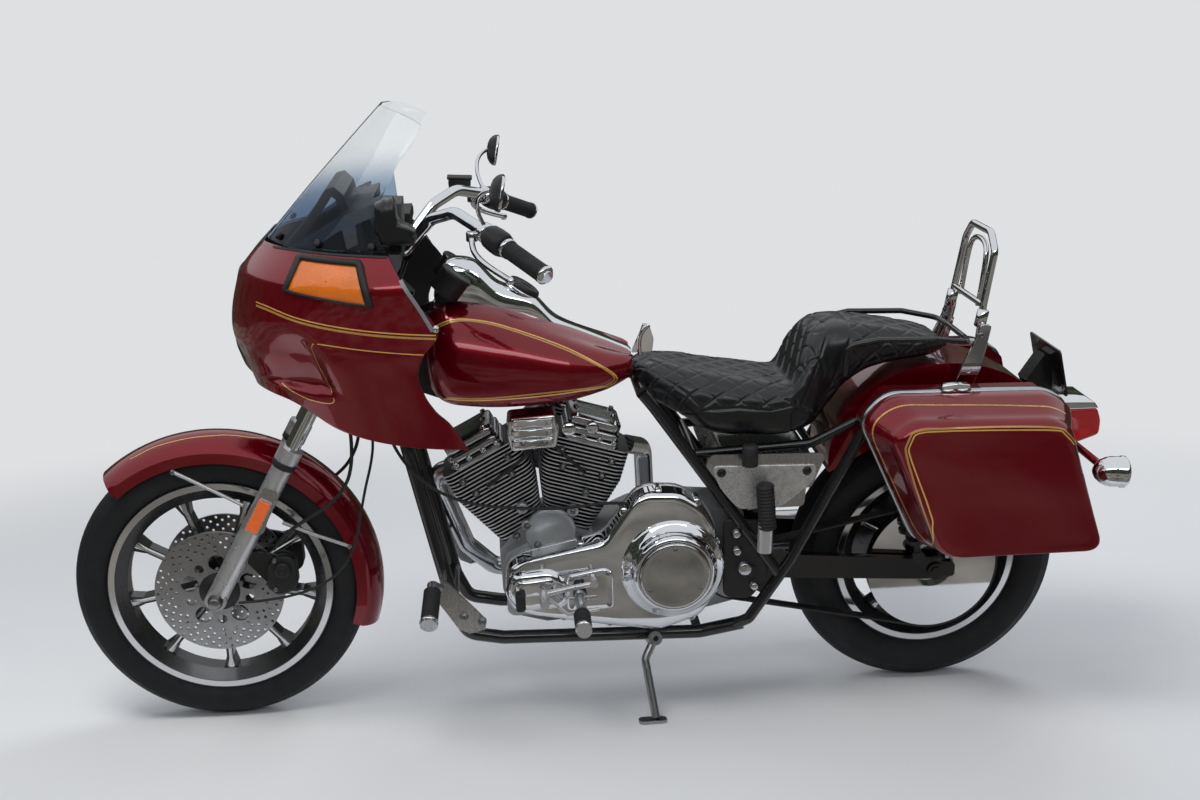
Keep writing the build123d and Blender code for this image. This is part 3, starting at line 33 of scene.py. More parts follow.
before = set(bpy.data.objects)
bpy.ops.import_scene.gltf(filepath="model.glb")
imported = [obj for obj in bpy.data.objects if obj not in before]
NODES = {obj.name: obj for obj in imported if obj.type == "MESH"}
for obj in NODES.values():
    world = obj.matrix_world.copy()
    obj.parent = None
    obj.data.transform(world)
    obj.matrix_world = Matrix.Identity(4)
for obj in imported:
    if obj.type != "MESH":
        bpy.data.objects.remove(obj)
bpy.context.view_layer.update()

MM = 0.001
LEAN = radians(8.0)
TREAD_CROWN = Vector((0, 0, 0.060))     # the lean turns about the tyres' crown arcs
LEANED = (Matrix.Translation(TREAD_CROWN) @ Matrix.Rotation(-LEAN, 4, "X")
          @ Matrix.Translation(-TREAD_CROWN))
RAKE = radians(29.3)
WHEELBASE = 1643.0
HEAD_X = WHEELBASE - 543.0
FRONT_R, REAR_R = 330.0, 318.0
FRONT_AXLE = (WHEELBASE, 0.0, FRONT_R)
REAR_AXLE = (0.0, 0.0, REAR_R)
BANK_DEGS = (28.0, -17.0)               # the cylinders' lean, ahead of upright
SIDES = ((1, "left"), (-1, "right"))
FLANK_Y = 300.0                         # where paths start before they are laid on the body
LEFT, UP, AHEAD = (0, 1, 0), (0, 0, 1), (1, 0, 0)


# ---------------------------------------------------------------- camera, floor and lights
FRAME_WIDTH, FOCAL = 1200.0, 1432.6     # in pixels of the picture
SENSOR = 36.0
CAMERA_AT = (1003.4, 3303.9, 1243.7)
CAMERA_YAW, CAMERA_PITCH, CAMERA_ROLL = radians(-4.295), radians(9.206), radians(-1.775)


def make_camera():
    """The camera, nearly square to the motorcycle's left side and a little above it."""
    data = bpy.data.cameras.new("camera")
    data.sensor_width = SENSOR
    data.lens = FOCAL / FRAME_WIDTH * SENSOR
    data.clip_end = 100
    camera = bpy.data.objects.new("camera", data)
    bpy.context.scene.collection.objects.link(camera)
    c, s = cos(CAMERA_YAW), sin(CAMERA_YAW)
    right, ahead, down = Vector((-c, -s, 0)), Vector((s, -c, 0)), Vector((0, 0, -1))
    down, ahead = (down * cos(CAMERA_PITCH) - ahead * sin(CAMERA_PITCH),
                   ahead * cos(CAMERA_PITCH) + down * sin(CAMERA_PITCH))
    right, down = (right * cos(CAMERA_ROLL) - down * sin(CAMERA_ROLL),
                   right * sin(CAMERA_ROLL) + down * cos(CAMERA_ROLL))
    turn = Matrix((right, -down, -ahead)).transposed().to_4x4()
    camera.matrix_world = Matrix.Translation(Vector(CAMERA_AT) * MM) @ turn
    bpy.context.scene.camera = camera


def add(tree, kind, inputs=(), **settings):
    """A shader node; each of its inputs is a value or another node's output."""
    node = tree.nodes.new("ShaderNode" + kind)
    for name, value in settings.items():
        setattr(node, name, value)
    for name, value in dict(inputs).items():
        if isinstance(value, bpy.types.NodeSocket):
            tree.links.new(value, node.inputs[name])
        else:
            node.inputs[name].default_value = value
    return node


def calc(tree, operation, *values):
    """One step of arithmetic; each value is a number or another node's output."""
    return add(tree, "Math", dict(enumerate(values)), operation=operation).outputs[0]


def ramp(tree, value, low, high, **settings):
    """0 to 1 as a value goes from low to high."""
    limits = {"Value": value, "From Min": low, "From Max": high}
    return add(tree, "MapRange", limits, **settings).outputs[0]


def mixed(tree, share, a, b):
    """A colour that goes over from one to another."""
    mix = add(tree, "Mix", {"Factor": share, "A": a, "B": b}, data_type="RGBA")
    return mix.outputs["Result"]


def empty_material(name):
    """A material without nodes, and its tree."""
    made = bpy.data.materials.new(name)
    made.use_nodes = True
    made.node_tree.nodes.clear()
    return made, made.node_tree


BACKDROP = (0.735, 0.748, 0.765, 1)
SKYLIGHT, SKYLIGHT_STRENGTH = (0.80, 0.84, 0.90, 1), 0.40
FLOOR_RADIUS, FLOOR_FADE = 60.0, (1.6, 4.2)
LOOK_AT = Vector((0.8, 0.0, 0.6))
# Name, place, size, power and colour.
LAMPS = (("key", (2.2, 1.4, 3.8), (2.8, 1.4), 84, (1.0, 0.985, 0.96)),
         ("front", (0.6, 4.6, 3.0), (4.6, 0.7), 34, (0.95, 0.98, 1.0)),
         ("back", (-1.2, -2.4, 3.0), (2.4, 1.4), 52, (0.96, 0.98, 1.0)))
GROUND = ((0.30, 0.28, 0.25, 1), (0.07, 0.065, 0.06, 1))
TREES = ((0.012, 0.014, 0.012, 1), (0.060, 0.070, 0.050, 1))
STANDING, ACROSS = (pi / 2, 0, 0), (pi / 2, 0, pi / 2)
# Cards that only reflections see, so that chrome and lacquer have something to show: name,
# place, width and depth, turn, colours.
CARDS = (("ground", (0.8, 3.6, 0.004), (16, 6.2), (0, 0, 0), GROUND),
         ("trees", (0.8, 6.8, 2.0), (17, 4.1), STANDING, TREES),
         ("ground", (0.8, -3.6, 0.004), (16, 6.2), (0, 0, 0), GROUND),
         ("trees", (0.8, -6.8, 2.0), (17, 4.1), STANDING, TREES),
         ("trees", (7.6, 0, 1.6), (14, 3.3), ACROSS, TREES),
         ("trees", (-6.0, 0, 1.6), (14, 3.3), ACROSS, TREES),
         ("ground", (5.2, 0, 0.004), (5.4, 1.2), (0, 0, 0), GROUND),
         ("ground", (-3.6, 0, 0.004), (5.4, 1.2), (0, 0, 0), GROUND))


def make_stage():
    """A pale floor that fades into the pale world, three soft lamps and the cards."""
    scene = bpy.context.scene
    scene.view_settings.view_transform = "Standard"
    make_world(scene)
    bpy.ops.mesh.primitive_circle_add(vertices=96, radius=FLOOR_RADIUS, fill_type="NGON",
                                      location=(LOOK_AT.x, LOOK_AT.y, -0.0005))
    floor = bpy.context.object
    floor.name = "floor"
    floor.data.materials.append(floor_material())
    for name, at, size, power, colour in LAMPS:
        data = bpy.data.lights.new(name, "AREA")
        data.shape = "RECTANGLE"
        data.size, data.size_y = size
        data.energy, data.color = power, colour
        lamp = bpy.data.objects.new(name, data)
        scene.collection.objects.link(lamp)
        lamp.location = at
        lamp.visible_glossy = name == "front"
        lamp.rotation_euler = (LOOK_AT - Vector(at)).to_track_quat("-Z", "Y").to_euler()
    for card in CARDS:
        show_card(*card)


def make_world(scene):
    """Soft sky light, seen as the backdrop's colour by the eye, gloss and glass."""
    scene.world = bpy.data.worlds.new("world")
    scene.world.use_nodes = True
    tree = scene.world.node_tree
    tree.nodes.clear()
    rays = add(tree, "LightPath").outputs
    seen = calc(tree, "MAXIMUM", rays["Is Camera Ray"], rays["Is Glossy Ray"])
    seen = calc(tree, "MAXIMUM", seen, rays["Is Transmission Ray"])
    light = add(tree, "Background", {"Color": SKYLIGHT, "Strength": SKYLIGHT_STRENGTH})
    backdrop = add(tree, "Background", {"Color": BACKDROP})
    mix = add(tree, "MixShader", {0: seen, 1: light.outputs[0], 2: backdrop.outputs[0]})
    add(tree, "OutputWorld", {0: mix.outputs[0]})


def show_card(name, at, size, turn, colours):
    """A glowing card of two blotched colours that nothing but a reflection can see."""
    mesh = bpy.data.meshes.new(name)
    w, d = size[0] / 2, size[1] / 2
    mesh.from_pydata([(-w, -d, 0), (w, -d, 0), (w, d, 0), (-w, d, 0)], [], [(0, 1, 2, 3)])
    card = bpy.data.objects.new(name, mesh)
    bpy.context.scene.collection.objects.link(card)
    card.location, card.rotation_euler = at, turn
    card.visible_camera = card.visible_diffuse = False
    card.visible_shadow = card.visible_transmission = False
    made, tree = empty_material(name)
    place = add(tree, "TexCoord").outputs["Object"]
    blotch = add(tree, "TexNoise", {"Vector": place, "Scale": 1.6, "Detail": 5})
    colour = mixed(tree, ramp(tree, blotch.outputs["Fac"], 0.38, 0.62), *colours)
    glow = add(tree, "Emission", {"Color": colour})
    add(tree, "OutputMaterial", {0: glow.outputs[0]})
    mesh.materials.append(made)


def floor_material():
    """Plain pale floor near the bike, the world's own colour far away."""
    made, tree = empty_material("floor")
    place = add(tree, "TexCoord").outputs["Object"]
    away = add(tree, "VectorMath", {0: place}, operation="LENGTH").outputs["Value"]
    fade = ramp(tree, away, *FLOOR_FADE, interpolation_type="SMOOTHSTEP")
    near = add(tree, "BsdfDiffuse", {"Color": (0.79, 0.80, 0.815, 1)})
    far = add(tree, "Emission", {"Color": BACKDROP})
    mix = add(tree, "MixShader", {0: fade, 1: near.outputs[0], 2: far.outputs[0]})
    add(tree, "OutputMaterial", {0: mix.outputs[0]})
    return made


# ---------------------------------------------------------------- materials
def surface(name, colour, rough, metallic=0.0, vary=0.08, vary_scale=6.0, rough_vary=0.25,
            bump=0.0, bump_scale=400.0, cells=False, stretch=(1, 1, 1), **sockets):
    """A Principled material whose colour and roughness drift and whose surface has a fine bump.
    Extra words set the shader's own sockets, such as Coat_Weight."""
    made = bpy.data.materials.new(name)
    made.use_nodes = True
    tree = made.node_tree
    shader = tree.nodes["Principled BSDF"].inputs
    shader["Metallic"].default_value = metallic
    for key, value in sockets.items():
        shader[key.replace("_", " ")].default_value = value
    place = add(tree, "Mapping", {"Vector": add(tree, "TexCoord").outputs["Object"],
                                  "Scale": stretch}).outputs[0]
    drift = add(tree, "TexNoise", {"Vector": place, "Scale": vary_scale, "Detail": 6})
    shades = [(*[min(1, c * share) for c in colour], 1) for share in (1 - vary, 1 + vary)]
    tree.links.new(mixed(tree, drift.outputs["Fac"], *shades), shader["Base Color"])
    wear = add(tree, "TexNoise", {"Vector": place, "Scale": vary_scale * 3.7, "Detail": 8})
    spread = add(tree, "MapRange", {"Value": wear.outputs["Fac"],
                                    "To Min": rough * (1 - rough_vary),
                                    "To Max": min(1, rough * (1 + rough_vary))})
    tree.links.new(spread.outputs[0], shader["Roughness"])
    if bump:
        kind, height = ("TexVoronoi", "Distance") if cells else ("TexNoise", "Fac")
        grain = add(tree, kind, {"Vector": place, "Scale": bump_scale}).outputs[height]
        raised = add(tree, "Bump", {"Height": grain, "Strength": bump, "Distance": 0.0006})
        tree.links.new(raised.outputs[0], shader["Normal"])
    return made


def by_height(made, low, high, low_colour, high_colour):
    """Recolours a material from one height to another, in the bike's own frame."""
    tree = made.node_tree
    place = add(tree, "SeparateXYZ", {0: add(tree, "TexCoord").outputs["Object"]})
    share = ramp(tree, place.outputs["Z"], low * MM, high * MM, interpolation_type="SMOOTHSTEP")
    tree.links.new(mixed(tree, share, low_colour, high_colour),
                   tree.nodes["Principled BSDF"].inputs["Base Color"])


def overlay(made, mask, colour, rough, metallic):
    """Another finish on a material where a mask is 1."""
    tree = made.node_tree
    shader = tree.nodes["Principled BSDF"].inputs
    under = shader["Base Color"].links[0].from_socket
    tree.links.new(mixed(tree, mask, under, colour), shader["Base Color"])
    for name, value in (("Roughness", rough), ("Metallic", metallic)):
        socket = shader[name]
        under = socket.links[0].from_socket if socket.links else socket.default_value
        mix = add(tree, "Mix", {"Factor": mask, "A": under, "B": value})
        tree.links.new(mix.outputs["Result"], socket)
    return made


def wheel_paint(name, axle, lip_inner, lip_outer):
    """Black enamel with a machined lip between two radii from the axle."""
    made = surface(name, (0.010, 0.010, 0.011), 0.28, vary=0.3, rough_vary=0.4, bump=0.05,
                   bump_scale=700, Coat_Weight=0.4, Coat_Roughness=0.10)
    tree = made.node_tree
    # The node's place turned upright about the tread's crown, then measured from the axle.
    crown = TREAD_CROWN - Matrix.Rotation(LEAN, 3, "X") @ TREAD_CROWN
    place = add(tree, "Mapping", {"Vector": add(tree, "TexCoord").outputs["Object"],
                                  "Rotation": (LEAN, 0, 0),
                                  "Location": crown - Vector(axle) * MM})
    axes = add(tree, "SeparateXYZ", {0: place.outputs[0]}).outputs
    squares = [calc(tree, "MULTIPLY", axes[k], axes[k]) for k in (0, 2)]
    radius = calc(tree, "SQRT", calc(tree, "ADD", *squares))
    soft = 0.5
    edges = [ramp(tree, radius, (at - soft) * MM, (at + soft) * MM)
             for at in (lip_inner, lip_outer)]
    return overlay(made, calc(tree, "SUBTRACT", *edges), (0.70, 0.71, 0.73, 1), 0.16, 1.0)


def fin_paint():
    """Black barrels whose fin edges are machined bright: bright where the surface faces away
    from either bank's axis."""
    made = surface("finned_black", (0.014, 0.014, 0.015), 0.46, vary=0.3, bump=0.3,
                   bump_scale=900)
    tree = made.node_tree
    normal = add(tree, "TexCoord").outputs["Normal"]
    masks = []
    for lean in map(radians, BANK_DEGS):
        axis = LEANED.to_3x3() @ Vector((sin(lean), 0, cos(lean)))
        along = add(tree, "VectorMath", {0: normal, 1: axis}, operation="DOT_PRODUCT")
        size = calc(tree, "ABSOLUTE", along.outputs["Value"])
        masks.append(calc(tree, "LESS_THAN", size, 0.32))
    return overlay(made, calc(tree, "MAXIMUM", *masks), (0.52, 0.52, 0.53, 1), 0.30, 0.55)


def stitched(made):
    """Rows of stitches on a cover, from the mesh's own marks."""
    tree = made.node_tree
    mark = add(tree, "Attribute", attribute_name="stitch")
    return overlay(made, calc(tree, "MULTIPLY", mark.outputs["Fac"], 0.6),
                   (0.035, 0.036, 0.038, 1), 0.7, 0.0)


RED = surface("red_lacquer", (0.19, 0.0008, 0.008), 0.25, metallic=0.65, vary=0.08, vary_scale=3,
              Specular_IOR_Level=0.2, Coat_Weight=1.0, Coat_Roughness=0.02)
BLACK = surface("black_enamel", (0.006, 0.006, 0.007), 0.22, vary=0.3, rough_vary=0.4, bump=0.04,
                bump_scale=700, Coat_Weight=0.5, Coat_Roughness=0.08)
SATIN = surface("satin_black", (0.010, 0.010, 0.011), 0.48, vary=0.3, bump=0.22, bump_scale=1500)
RUBBER = surface("black_rubber", (0.012, 0.012, 0.013), 0.60, vary=0.25, bump=0.25,
                 bump_scale=1200)
TYRE = surface("tyre_rubber", (0.0085, 0.009, 0.010), 0.66, vary=0.35, vary_scale=9, bump=0.25,
               bump_scale=900, Specular_IOR_Level=0.35)
CHROME = surface("chrome", (0.80, 0.82, 0.85), 0.045, metallic=1.0, vary=0.05, rough_vary=0.5,
                 bump=0.012, bump_scale=60)
SATIN_CHROME = surface("worn_chrome", (0.60, 0.61, 0.63), 0.16, metallic=1.0, vary=0.10,
                       vary_scale=14, rough_vary=0.45, bump=0.05, bump_scale=160)
POLISHED = surface("polished_alloy", (0.62, 0.62, 0.63), 0.30, metallic=0.8, vary=0.12,
                   vary_scale=12, rough_vary=0.4, bump=0.10, bump_scale=300)
BRUSHED = surface("brushed_alloy", (0.46, 0.46, 0.47), 0.28, metallic=1.0, vary=0.30,
                  vary_scale=34, rough_vary=0.35, bump=0.25, bump_scale=260, stretch=(6, 1, 1))
CAST = surface("cast_alloy", (0.36, 0.37, 0.38), 0.42, metallic=0.6, vary=0.25, vary_scale=18,
               bump=0.35, bump_scale=900)
STEEL = surface("disc_steel", (0.36, 0.36, 0.37), 0.30, metallic=1.0, vary=0.22, vary_scale=25,
                bump=0.14, bump_scale=500)
BOLT = surface("bolt_steel", (0.30, 0.30, 0.31), 0.34, metallic=1.0, vary=0.25, vary_scale=90,
               bump=0.1, bump_scale=600)
LEATHER = surface("black_leather", (0.0045, 0.005, 0.006), 0.30, vary=0.35, vary_scale=20,
                  rough_vary=0.30, bump=0.25, bump_scale=620, cells=True, Coat_Weight=0.25,
                  Coat_Roughness=0.22)
stitched(LEATHER)
GOLD = surface("gold_stripe", (0.72, 0.42, 0.10), 0.30, metallic=0.35, vary=0.10,
               Coat_Weight=1.0, Coat_Roughness=0.05)
DARK_GOLD = surface("dark_gold_stripe", (0.46, 0.25, 0.06), 0.32, metallic=0.35, vary=0.10,
                    Coat_Weight=1.0, Coat_Roughness=0.05)
GREY_TRIM = surface("grey_trim", (0.20, 0.21, 0.22), 0.42, metallic=0.3, vary=0.2, vary_scale=50,
                    bump=0.2, bump_scale=800)
RIDGE = surface("machined_ridge", (0.62, 0.63, 0.64), 0.20, metallic=1.0, vary=0.2, vary_scale=60,
                rough_vary=0.4, bump=0.05, bump_scale=300)
DERBY = surface("derby_chrome", (0.56, 0.57, 0.58), 0.13, metallic=1.0, vary=0.22, vary_scale=26,
                rough_vary=0.6, bump=0.12, bump_scale=70)
CHROME_AGED = surface("aged_chrome", (0.50, 0.51, 0.53), 0.20, metallic=1.0, vary=0.25,
                      vary_scale=22, rough_vary=0.5, bump=0.10, bump_scale=140)
ENGRAVED = surface("engraved_plate", (0.50, 0.50, 0.49), 0.30, metallic=0.7, vary=0.45,
                   vary_scale=70, rough_vary=0.6, bump=0.35, bump_scale=150)
MIRROR = surface("mirror_glass", (0.30, 0.34, 0.32), 0.02, metallic=1.0, vary=0.03, bump=0.0)
TRIM_SILVER = surface("silver_trim", (0.50, 0.52, 0.54), 0.20, metallic=1.0, vary=0.15,
                      vary_scale=40, rough_vary=0.4, bump=0.05, bump_scale=200)
GLASS = surface("screen", (0.93, 0.96, 0.98), 0.02, vary=0.02, Transmission_Weight=1.0, IOR=1.06,
                Coat_Weight=0.25, Coat_Roughness=0.02)
by_height(GLASS, 1190, 1300, (0.30, 0.40, 0.52, 1), (0.96, 0.975, 0.98, 1))
LENS = surface("lamp_glass", (0.90, 0.95, 0.93), 0.03, vary=0.03, Transmission_Weight=0.85,
               IOR=1.3, Coat_Weight=1.0, Coat_Roughness=0.02)
AMBER = surface("amber_lens", (0.66, 0.15, 0.008), 0.20, vary=0.35, vary_scale=24, bump=0.8,
                bump_scale=160, cells=True, Transmission_Weight=0.15, Coat_Weight=1.0,
                Coat_Roughness=0.04)
ORANGE = surface("reflector_orange", (0.86, 0.13, 0.012), 0.22, vary=0.2, vary_scale=60, bump=0.5,
                 bump_scale=260, cells=True, Coat_Weight=1.0, Coat_Roughness=0.03)
RED_LENS = surface("red_lens", (0.50, 0.005, 0.010), 0.12, vary=0.25, vary_scale=30, bump=0.2,
                   bump_scale=120, Transmission_Weight=0.25, Coat_Weight=1.0, Coat_Roughness=0.03)
FRONT_WHEEL_PAINT = wheel_paint("front_wheel_paint", FRONT_AXLE, 238.5, 252)
REAR_WHEEL_PAINT = wheel_paint("rear_wheel_paint", REAR_AXLE, 200.5, 214)
FINS = fin_paint()

CAD_FINISH = {
    RED: ("fairing_shell", "front_fender", "rear_fender", "tank", "bag_shells", "bag_lid_left",
          "bag_lid_right"),
    BLACK: ("frame_main", "frame_cradle", "frame_rear", "swing_arm", "triple_trees", "grab_rail",
            "plate_holder"),
    FRONT_WHEEL_PAINT: ("front_rim",),
    REAR_WHEEL_PAINT: ("rear_rim",),
    SATIN: ("front_calipers", "shocks", "hand_controls", "fairing_dash"),
    RUBBER: ("grips", "drive_belt", "brake_hose_left", "brake_hose_right", "speedo_cable",
             "clutch_cable"),
    TYRE: ("front_tyre", "rear_tyre"),
    CHROME: ("handlebar", "fork_tubes", "tank_console", "primary_cover", "derby_cover",
             "cam_cover", "air_cleaner", "coil_cover", "rear_pulley", "sissy_bar",
             "rear_signals"),
    SATIN_CHROME: ("exhaust",),
    POLISHED: ("fork_sliders", "rocker_boxes", "foot_controls"),
    BRUSHED: ("side_covers", "highway_pegs"),
    CAST: ("crankcase",),
    FINS: ("cylinders",),
    STEEL: ("front_discs", "rear_disc", "side_stand"),
    LEATHER: ("seat",),
    GLASS: ("windshield",),
    LENS: ("headlamp",),
    AMBER: ("front_signals",),
    RED_LENS: ("tail_lamp",),
}


# CAD nodes whose edges are rounded, and the width of the rounding in millimetres.
ROUNDED = (("tank_console", 5), ("primary_cover", 2.5), ("derby_cover", 1.5), ("coil_cover", 2),
           ("bag_shells", 2), ("rocker_boxes", 1.5), ("crankcase", 1.5), ("foot_controls", 1.5),
           ("hand_controls", 1.5), ("front_calipers", 2), ("highway_pegs", 1.5),
           ("side_covers", 1.2), ("plate_holder", 1), ("tail_lamp", 3), ("front_rim", 1.2),
           ("rear_rim", 1.2), ("fairing_dash", 2), ("triple_trees", 2), ("cylinders", 0.8))


def modify(piece, kind, **settings):
    """Adds a modifier with its settings."""
    modifier = piece.modifiers.new(kind.lower(), kind)
    for name, value in settings.items():
        setattr(modifier, name, value)
    return modifier


def dress_cad():
    """Gives every carried-over CAD node its material and rounds its edges."""
    for material, names in CAD_FINISH.items():
        for name in names:
            data = NODES[name].data
            data.materials.clear()
            data.materials.append(material)
    for name, width in ROUNDED:
        node = NODES[name]
        modify(node, "WELD", merge_threshold=0.00002)
        modify(node, "DECIMATE", decimate_type="DISSOLVE", angle_limit=radians(1))
        modify(node, "BEVEL", limit_method="ANGLE", angle_limit=radians(34), width=width * MM,
               segments=3, use_clamp_overlap=True)
        modify(node, "WEIGHTED_NORMAL", keep_sharp=True)


# ---------------------------------------------------------------- shape helpers
def column(table, at, number=1):
    """Smooth values of one of a table's columns against its first, with no overshoot."""
    table, at = np.asarray(table, float), np.asarray(at, float)
    keys, values = table[:, 0], table[:, number]
    step = np.diff(keys)
    slope = np.diff(values) / step
    inner = np.where(slope[:-1] * slope[1:] > 0,
                     2 * slope[:-1] * slope[1:] / (slope[:-1] + slope[1:] + 1e-12), 0.0)
    tangent = np.concatenate(([slope[0]], inner, [slope[-1]]))
    index = np.clip(np.searchsorted(keys, at) - 1, 0, len(step) - 1)
    t = np.clip((at - keys[index]) / step[index], 0, 1)
    h = step[index]
    return ((2 * t ** 3 - 3 * t ** 2 + 1) * values[index]
            + (t ** 3 - 2 * t ** 2 + t) * h * tangent[index]
            + (3 * t ** 2 - 2 * t ** 3) * values[index + 1]
            + (t ** 3 - t ** 2) * h * tangent[index + 1])


def straight(table, at):
    """Values between a table's rows along straight lines."""
    keys, values = zip(*table)
    return np.interp(at, keys, values)


def smooth_path(points, step=6.0):
    """Points along a Catmull-Rom curve through the given ones, a step apart."""
    p = np.asarray(points, float)
    p = np.vstack((2 * p[0] - p[1], p, 2 * p[-1] - p[-2]))
    out = []
    for a, b, c, d in zip(p[:-3], p[1:-2], p[2:-1], p[3:]):
        count = max(2, int(np.linalg.norm(c - b) / step))
        t = np.arange(count)[:, None] / count
        out.append(0.5 * (2 * b + (c - a) * t + (2 * a - 5 * b + 4 * c - d) * t ** 2
                          + (3 * b - a - 3 * c + d) * t ** 3))
    out.append(p[-2][None])
    return np.vstack(out)


def blur(grid, passes, axis, wrap=False):
    """Evens a grid of points out along one axis, its ends held."""
    for _ in range(passes):
        turned = np.moveaxis(grid, axis, 0).copy()
        if wrap:
            turned = 0.5 * turned + 0.25 * (np.roll(turned, 1, 0) + np.roll(turned, -1, 0))
        else:
            turned[1:-1] = 0.5 * turned[1:-1] + 0.25 * (turned[:-2] + turned[2:])
        grid = np.moveaxis(turned, 0, axis)
    return grid


def circle_through(ax, ay, bx, by, cx, cy):
    """The centre of the circle through three points."""
    d = 2 * (ax * (by - cy) + bx * (cy - ay) + cx * (ay - by))
    a, b, c = ax ** 2 + ay ** 2, bx ** 2 + by ** 2, cx ** 2 + cy ** 2
    return ((a * (by - cy) + b * (cy - ay) + c * (ay - by)) / d,
            (a * (cx - bx) + b * (ax - cx) + c * (bx - ax)) / d)


def smoothstep(value, low, high):
    """0 below low, 1 above high, and an even rise between them."""
    t = np.clip((value - low) / (high - low), 0, 1)
    return t * t * (3 - 2 * t)


def squared(wave, power):
    """A sine or cosine pushed outwards, so that the circle drawn with it turns boxy."""
    return np.sign(wave) * np.abs(wave) ** power


def distances(line):
    """How far along a line each of its points lies."""
    return np.concatenate(([0], np.cumsum(np.linalg.norm(np.diff(line, axis=0), axis=1))))


def inset(outline, amount, middle=None):
    """An outline drawn towards its middle, or towards another point, by an amount."""
    outline = np.asarray(outline, float)
    middle = outline.mean(axis=0) if middle is None else np.array(middle)
    away = outline - middle
    size = np.linalg.norm(away, axis=1)[:, None]
    return middle + away * (size - amount) / size


def level(outline, y):
    """An outline of (x, z) points as places at one y."""
    x, z = np.asarray(outline, float).T
    return np.column_stack((x, np.full(len(x), y), z))


def station(x, section):
    """A section of (y, z) points as places at one x, or at an x for each."""
    return np.column_stack((np.broadcast_to(x, len(section)), section))


def join(piece, material, body):
    """Lays a new piece on the leaned bike and lets it ride a body."""
    bpy.context.scene.collection.objects.link(piece)
    piece.matrix_world = LEANED
    piece.data.materials.append(material)
    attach(piece, body)
    return piece


def new_piece(name, points, faces, material, body="chassis", smooth=True):
    """A mesh piece from upright millimetre points."""
    mesh = bpy.data.meshes.new(name)
    mesh.from_pydata([tuple(v) for v in np.asarray(points, float) * MM], [],
                     [tuple(int(i) for i in f) for f in faces])
    mesh.validate()
    for polygon in mesh.polygons:
        polygon.use_smooth = smooth
    return join(bpy.data.objects.new(name, mesh), material, body)


def grid_faces(rows, columns, wrap=False, start=0):
    """Quads of a grid whose points are stored row by row, its first one's number being start."""
    faces = []
    for i in range(rows - 1):
        for j in range(columns if wrap else columns - 1):
            k = (j + 1) % columns
            corners = (i * columns + j, i * columns + k, (i + 1) * columns + k,
                       (i + 1) * columns + j)
            faces.append([start + corner for corner in corners])
    return faces


def grid_piece(name, grid, material, body="chassis", wrap=False, caps=()):
    """A grid of points as one piece; caps closes its first and last rows."""
    grid = np.asarray(grid, float)
    rows, columns = grid.shape[:2]
    faces = grid_faces(rows, columns, wrap)
    for row in caps:
        start = (row % rows) * columns
        ring = [start + j for j in range(columns)]
        faces.append(ring if row == 0 else ring[::-1])
    return new_piece(name, grid.reshape(-1, 3), faces, material, body)


def outward(piece):
    """Makes all faces of a closed piece point away from its inside."""
    work = bmesh.new()
    work.from_mesh(piece.data)
    bmesh.ops.recalc_face_normals(work, faces=work.faces)
    work.to_mesh(piece.data)
    work.free()
    return piece


def outward_from(piece, centre=(1000, 0, 900)):
    """Turns the faces of an open sheet away from a point, first the middle of the bike."""
    middle = Vector(centre) * MM
    if sum((p.center - middle).dot(p.normal) for p in piece.data.polygons) < 0:
        piece.data.flip_normals()
    return piece


def outward_side(piece, side=1):
    """Turns the faces of a sheet on the bike's flank outwards, to the left where side is 1."""
    if sum(p.normal.y * p.area for p in piece.data.polygons) * side < 0:
        piece.data.flip_normals()
    return piece


def thicken(piece, thickness, rim=0.0):
    """Gives a sheet its thickness inwards, with a rounded rim."""
    solid = modify(piece, "SOLIDIFY", thickness=thickness * MM, offset=-1.0)
    if rim:
        modify(piece, "BEVEL", width=rim * MM, segments=3, limit_method="ANGLE",
               angle_limit=radians(50))
    return solid


def surface_tree(piece):
    """A piece's finished surface, in upright metres, for drawing on."""
    bpy.context.view_layer.update()
    final = piece.evaluated_get(bpy.context.evaluated_depsgraph_get())
    mesh = final.to_mesh()
    tree = BVHTree.FromPolygons([v.co.copy() for v in mesh.vertices],
                                [list(p.vertices) for p in mesh.polygons])
    final.to_mesh_clear()
    return tree


def onto(tree, point, towards, lift=0.0, reach=900.0):
    """Where a line from outside meets a surface: the point and its outward normal, in mm."""
    aim = Vector(towards).normalized()
    start = Vector(point) * MM - aim * reach * MM * 0.5
    hit, normal, _, _ = tree.ray_cast(start, aim, reach * MM)
    if hit is None:
        return None
    if normal.dot(aim) > 0:
        normal = -normal
    return np.array(hit) / MM + np.array(normal) * lift, np.array(normal)


def ribbon(name, tree, laid, width, material, body="chassis", lift=0.35):
    """A flat painted line through places already laid on a surface."""
    places, normals = (np.array(part) for part in zip(*laid))
    side = np.cross(normals, np.gradient(places, axis=0))
    side /= np.linalg.norm(side, axis=1)[:, None] + 1e-9
    rows = []
    for share in (-0.5, 0.0, 0.5):
        edge = places + side * (share * width)
        found = [onto(tree, e, -n, lift, reach=24) for e, n in zip(edge, normals)]
        rows.append([e if hit is None else hit[0] for e, hit in zip(edge, found)])
    return grid_piece(name, rows, material, body)


def stripe(name, tree, path, side, width, material, body="chassis", y=FLANK_Y, lean=0.0,
           lift=0.35):
    """A thin painted line on a flank: (x, z) points laid on the surface from that side."""
    line = smooth_path([(x, side * y, z) for x, z in path])
    laid = [onto(tree, place, (0, -side, lean), lift) for place in line]
    return ribbon(name, tree, [found for found in laid if found], width, material, body, lift)


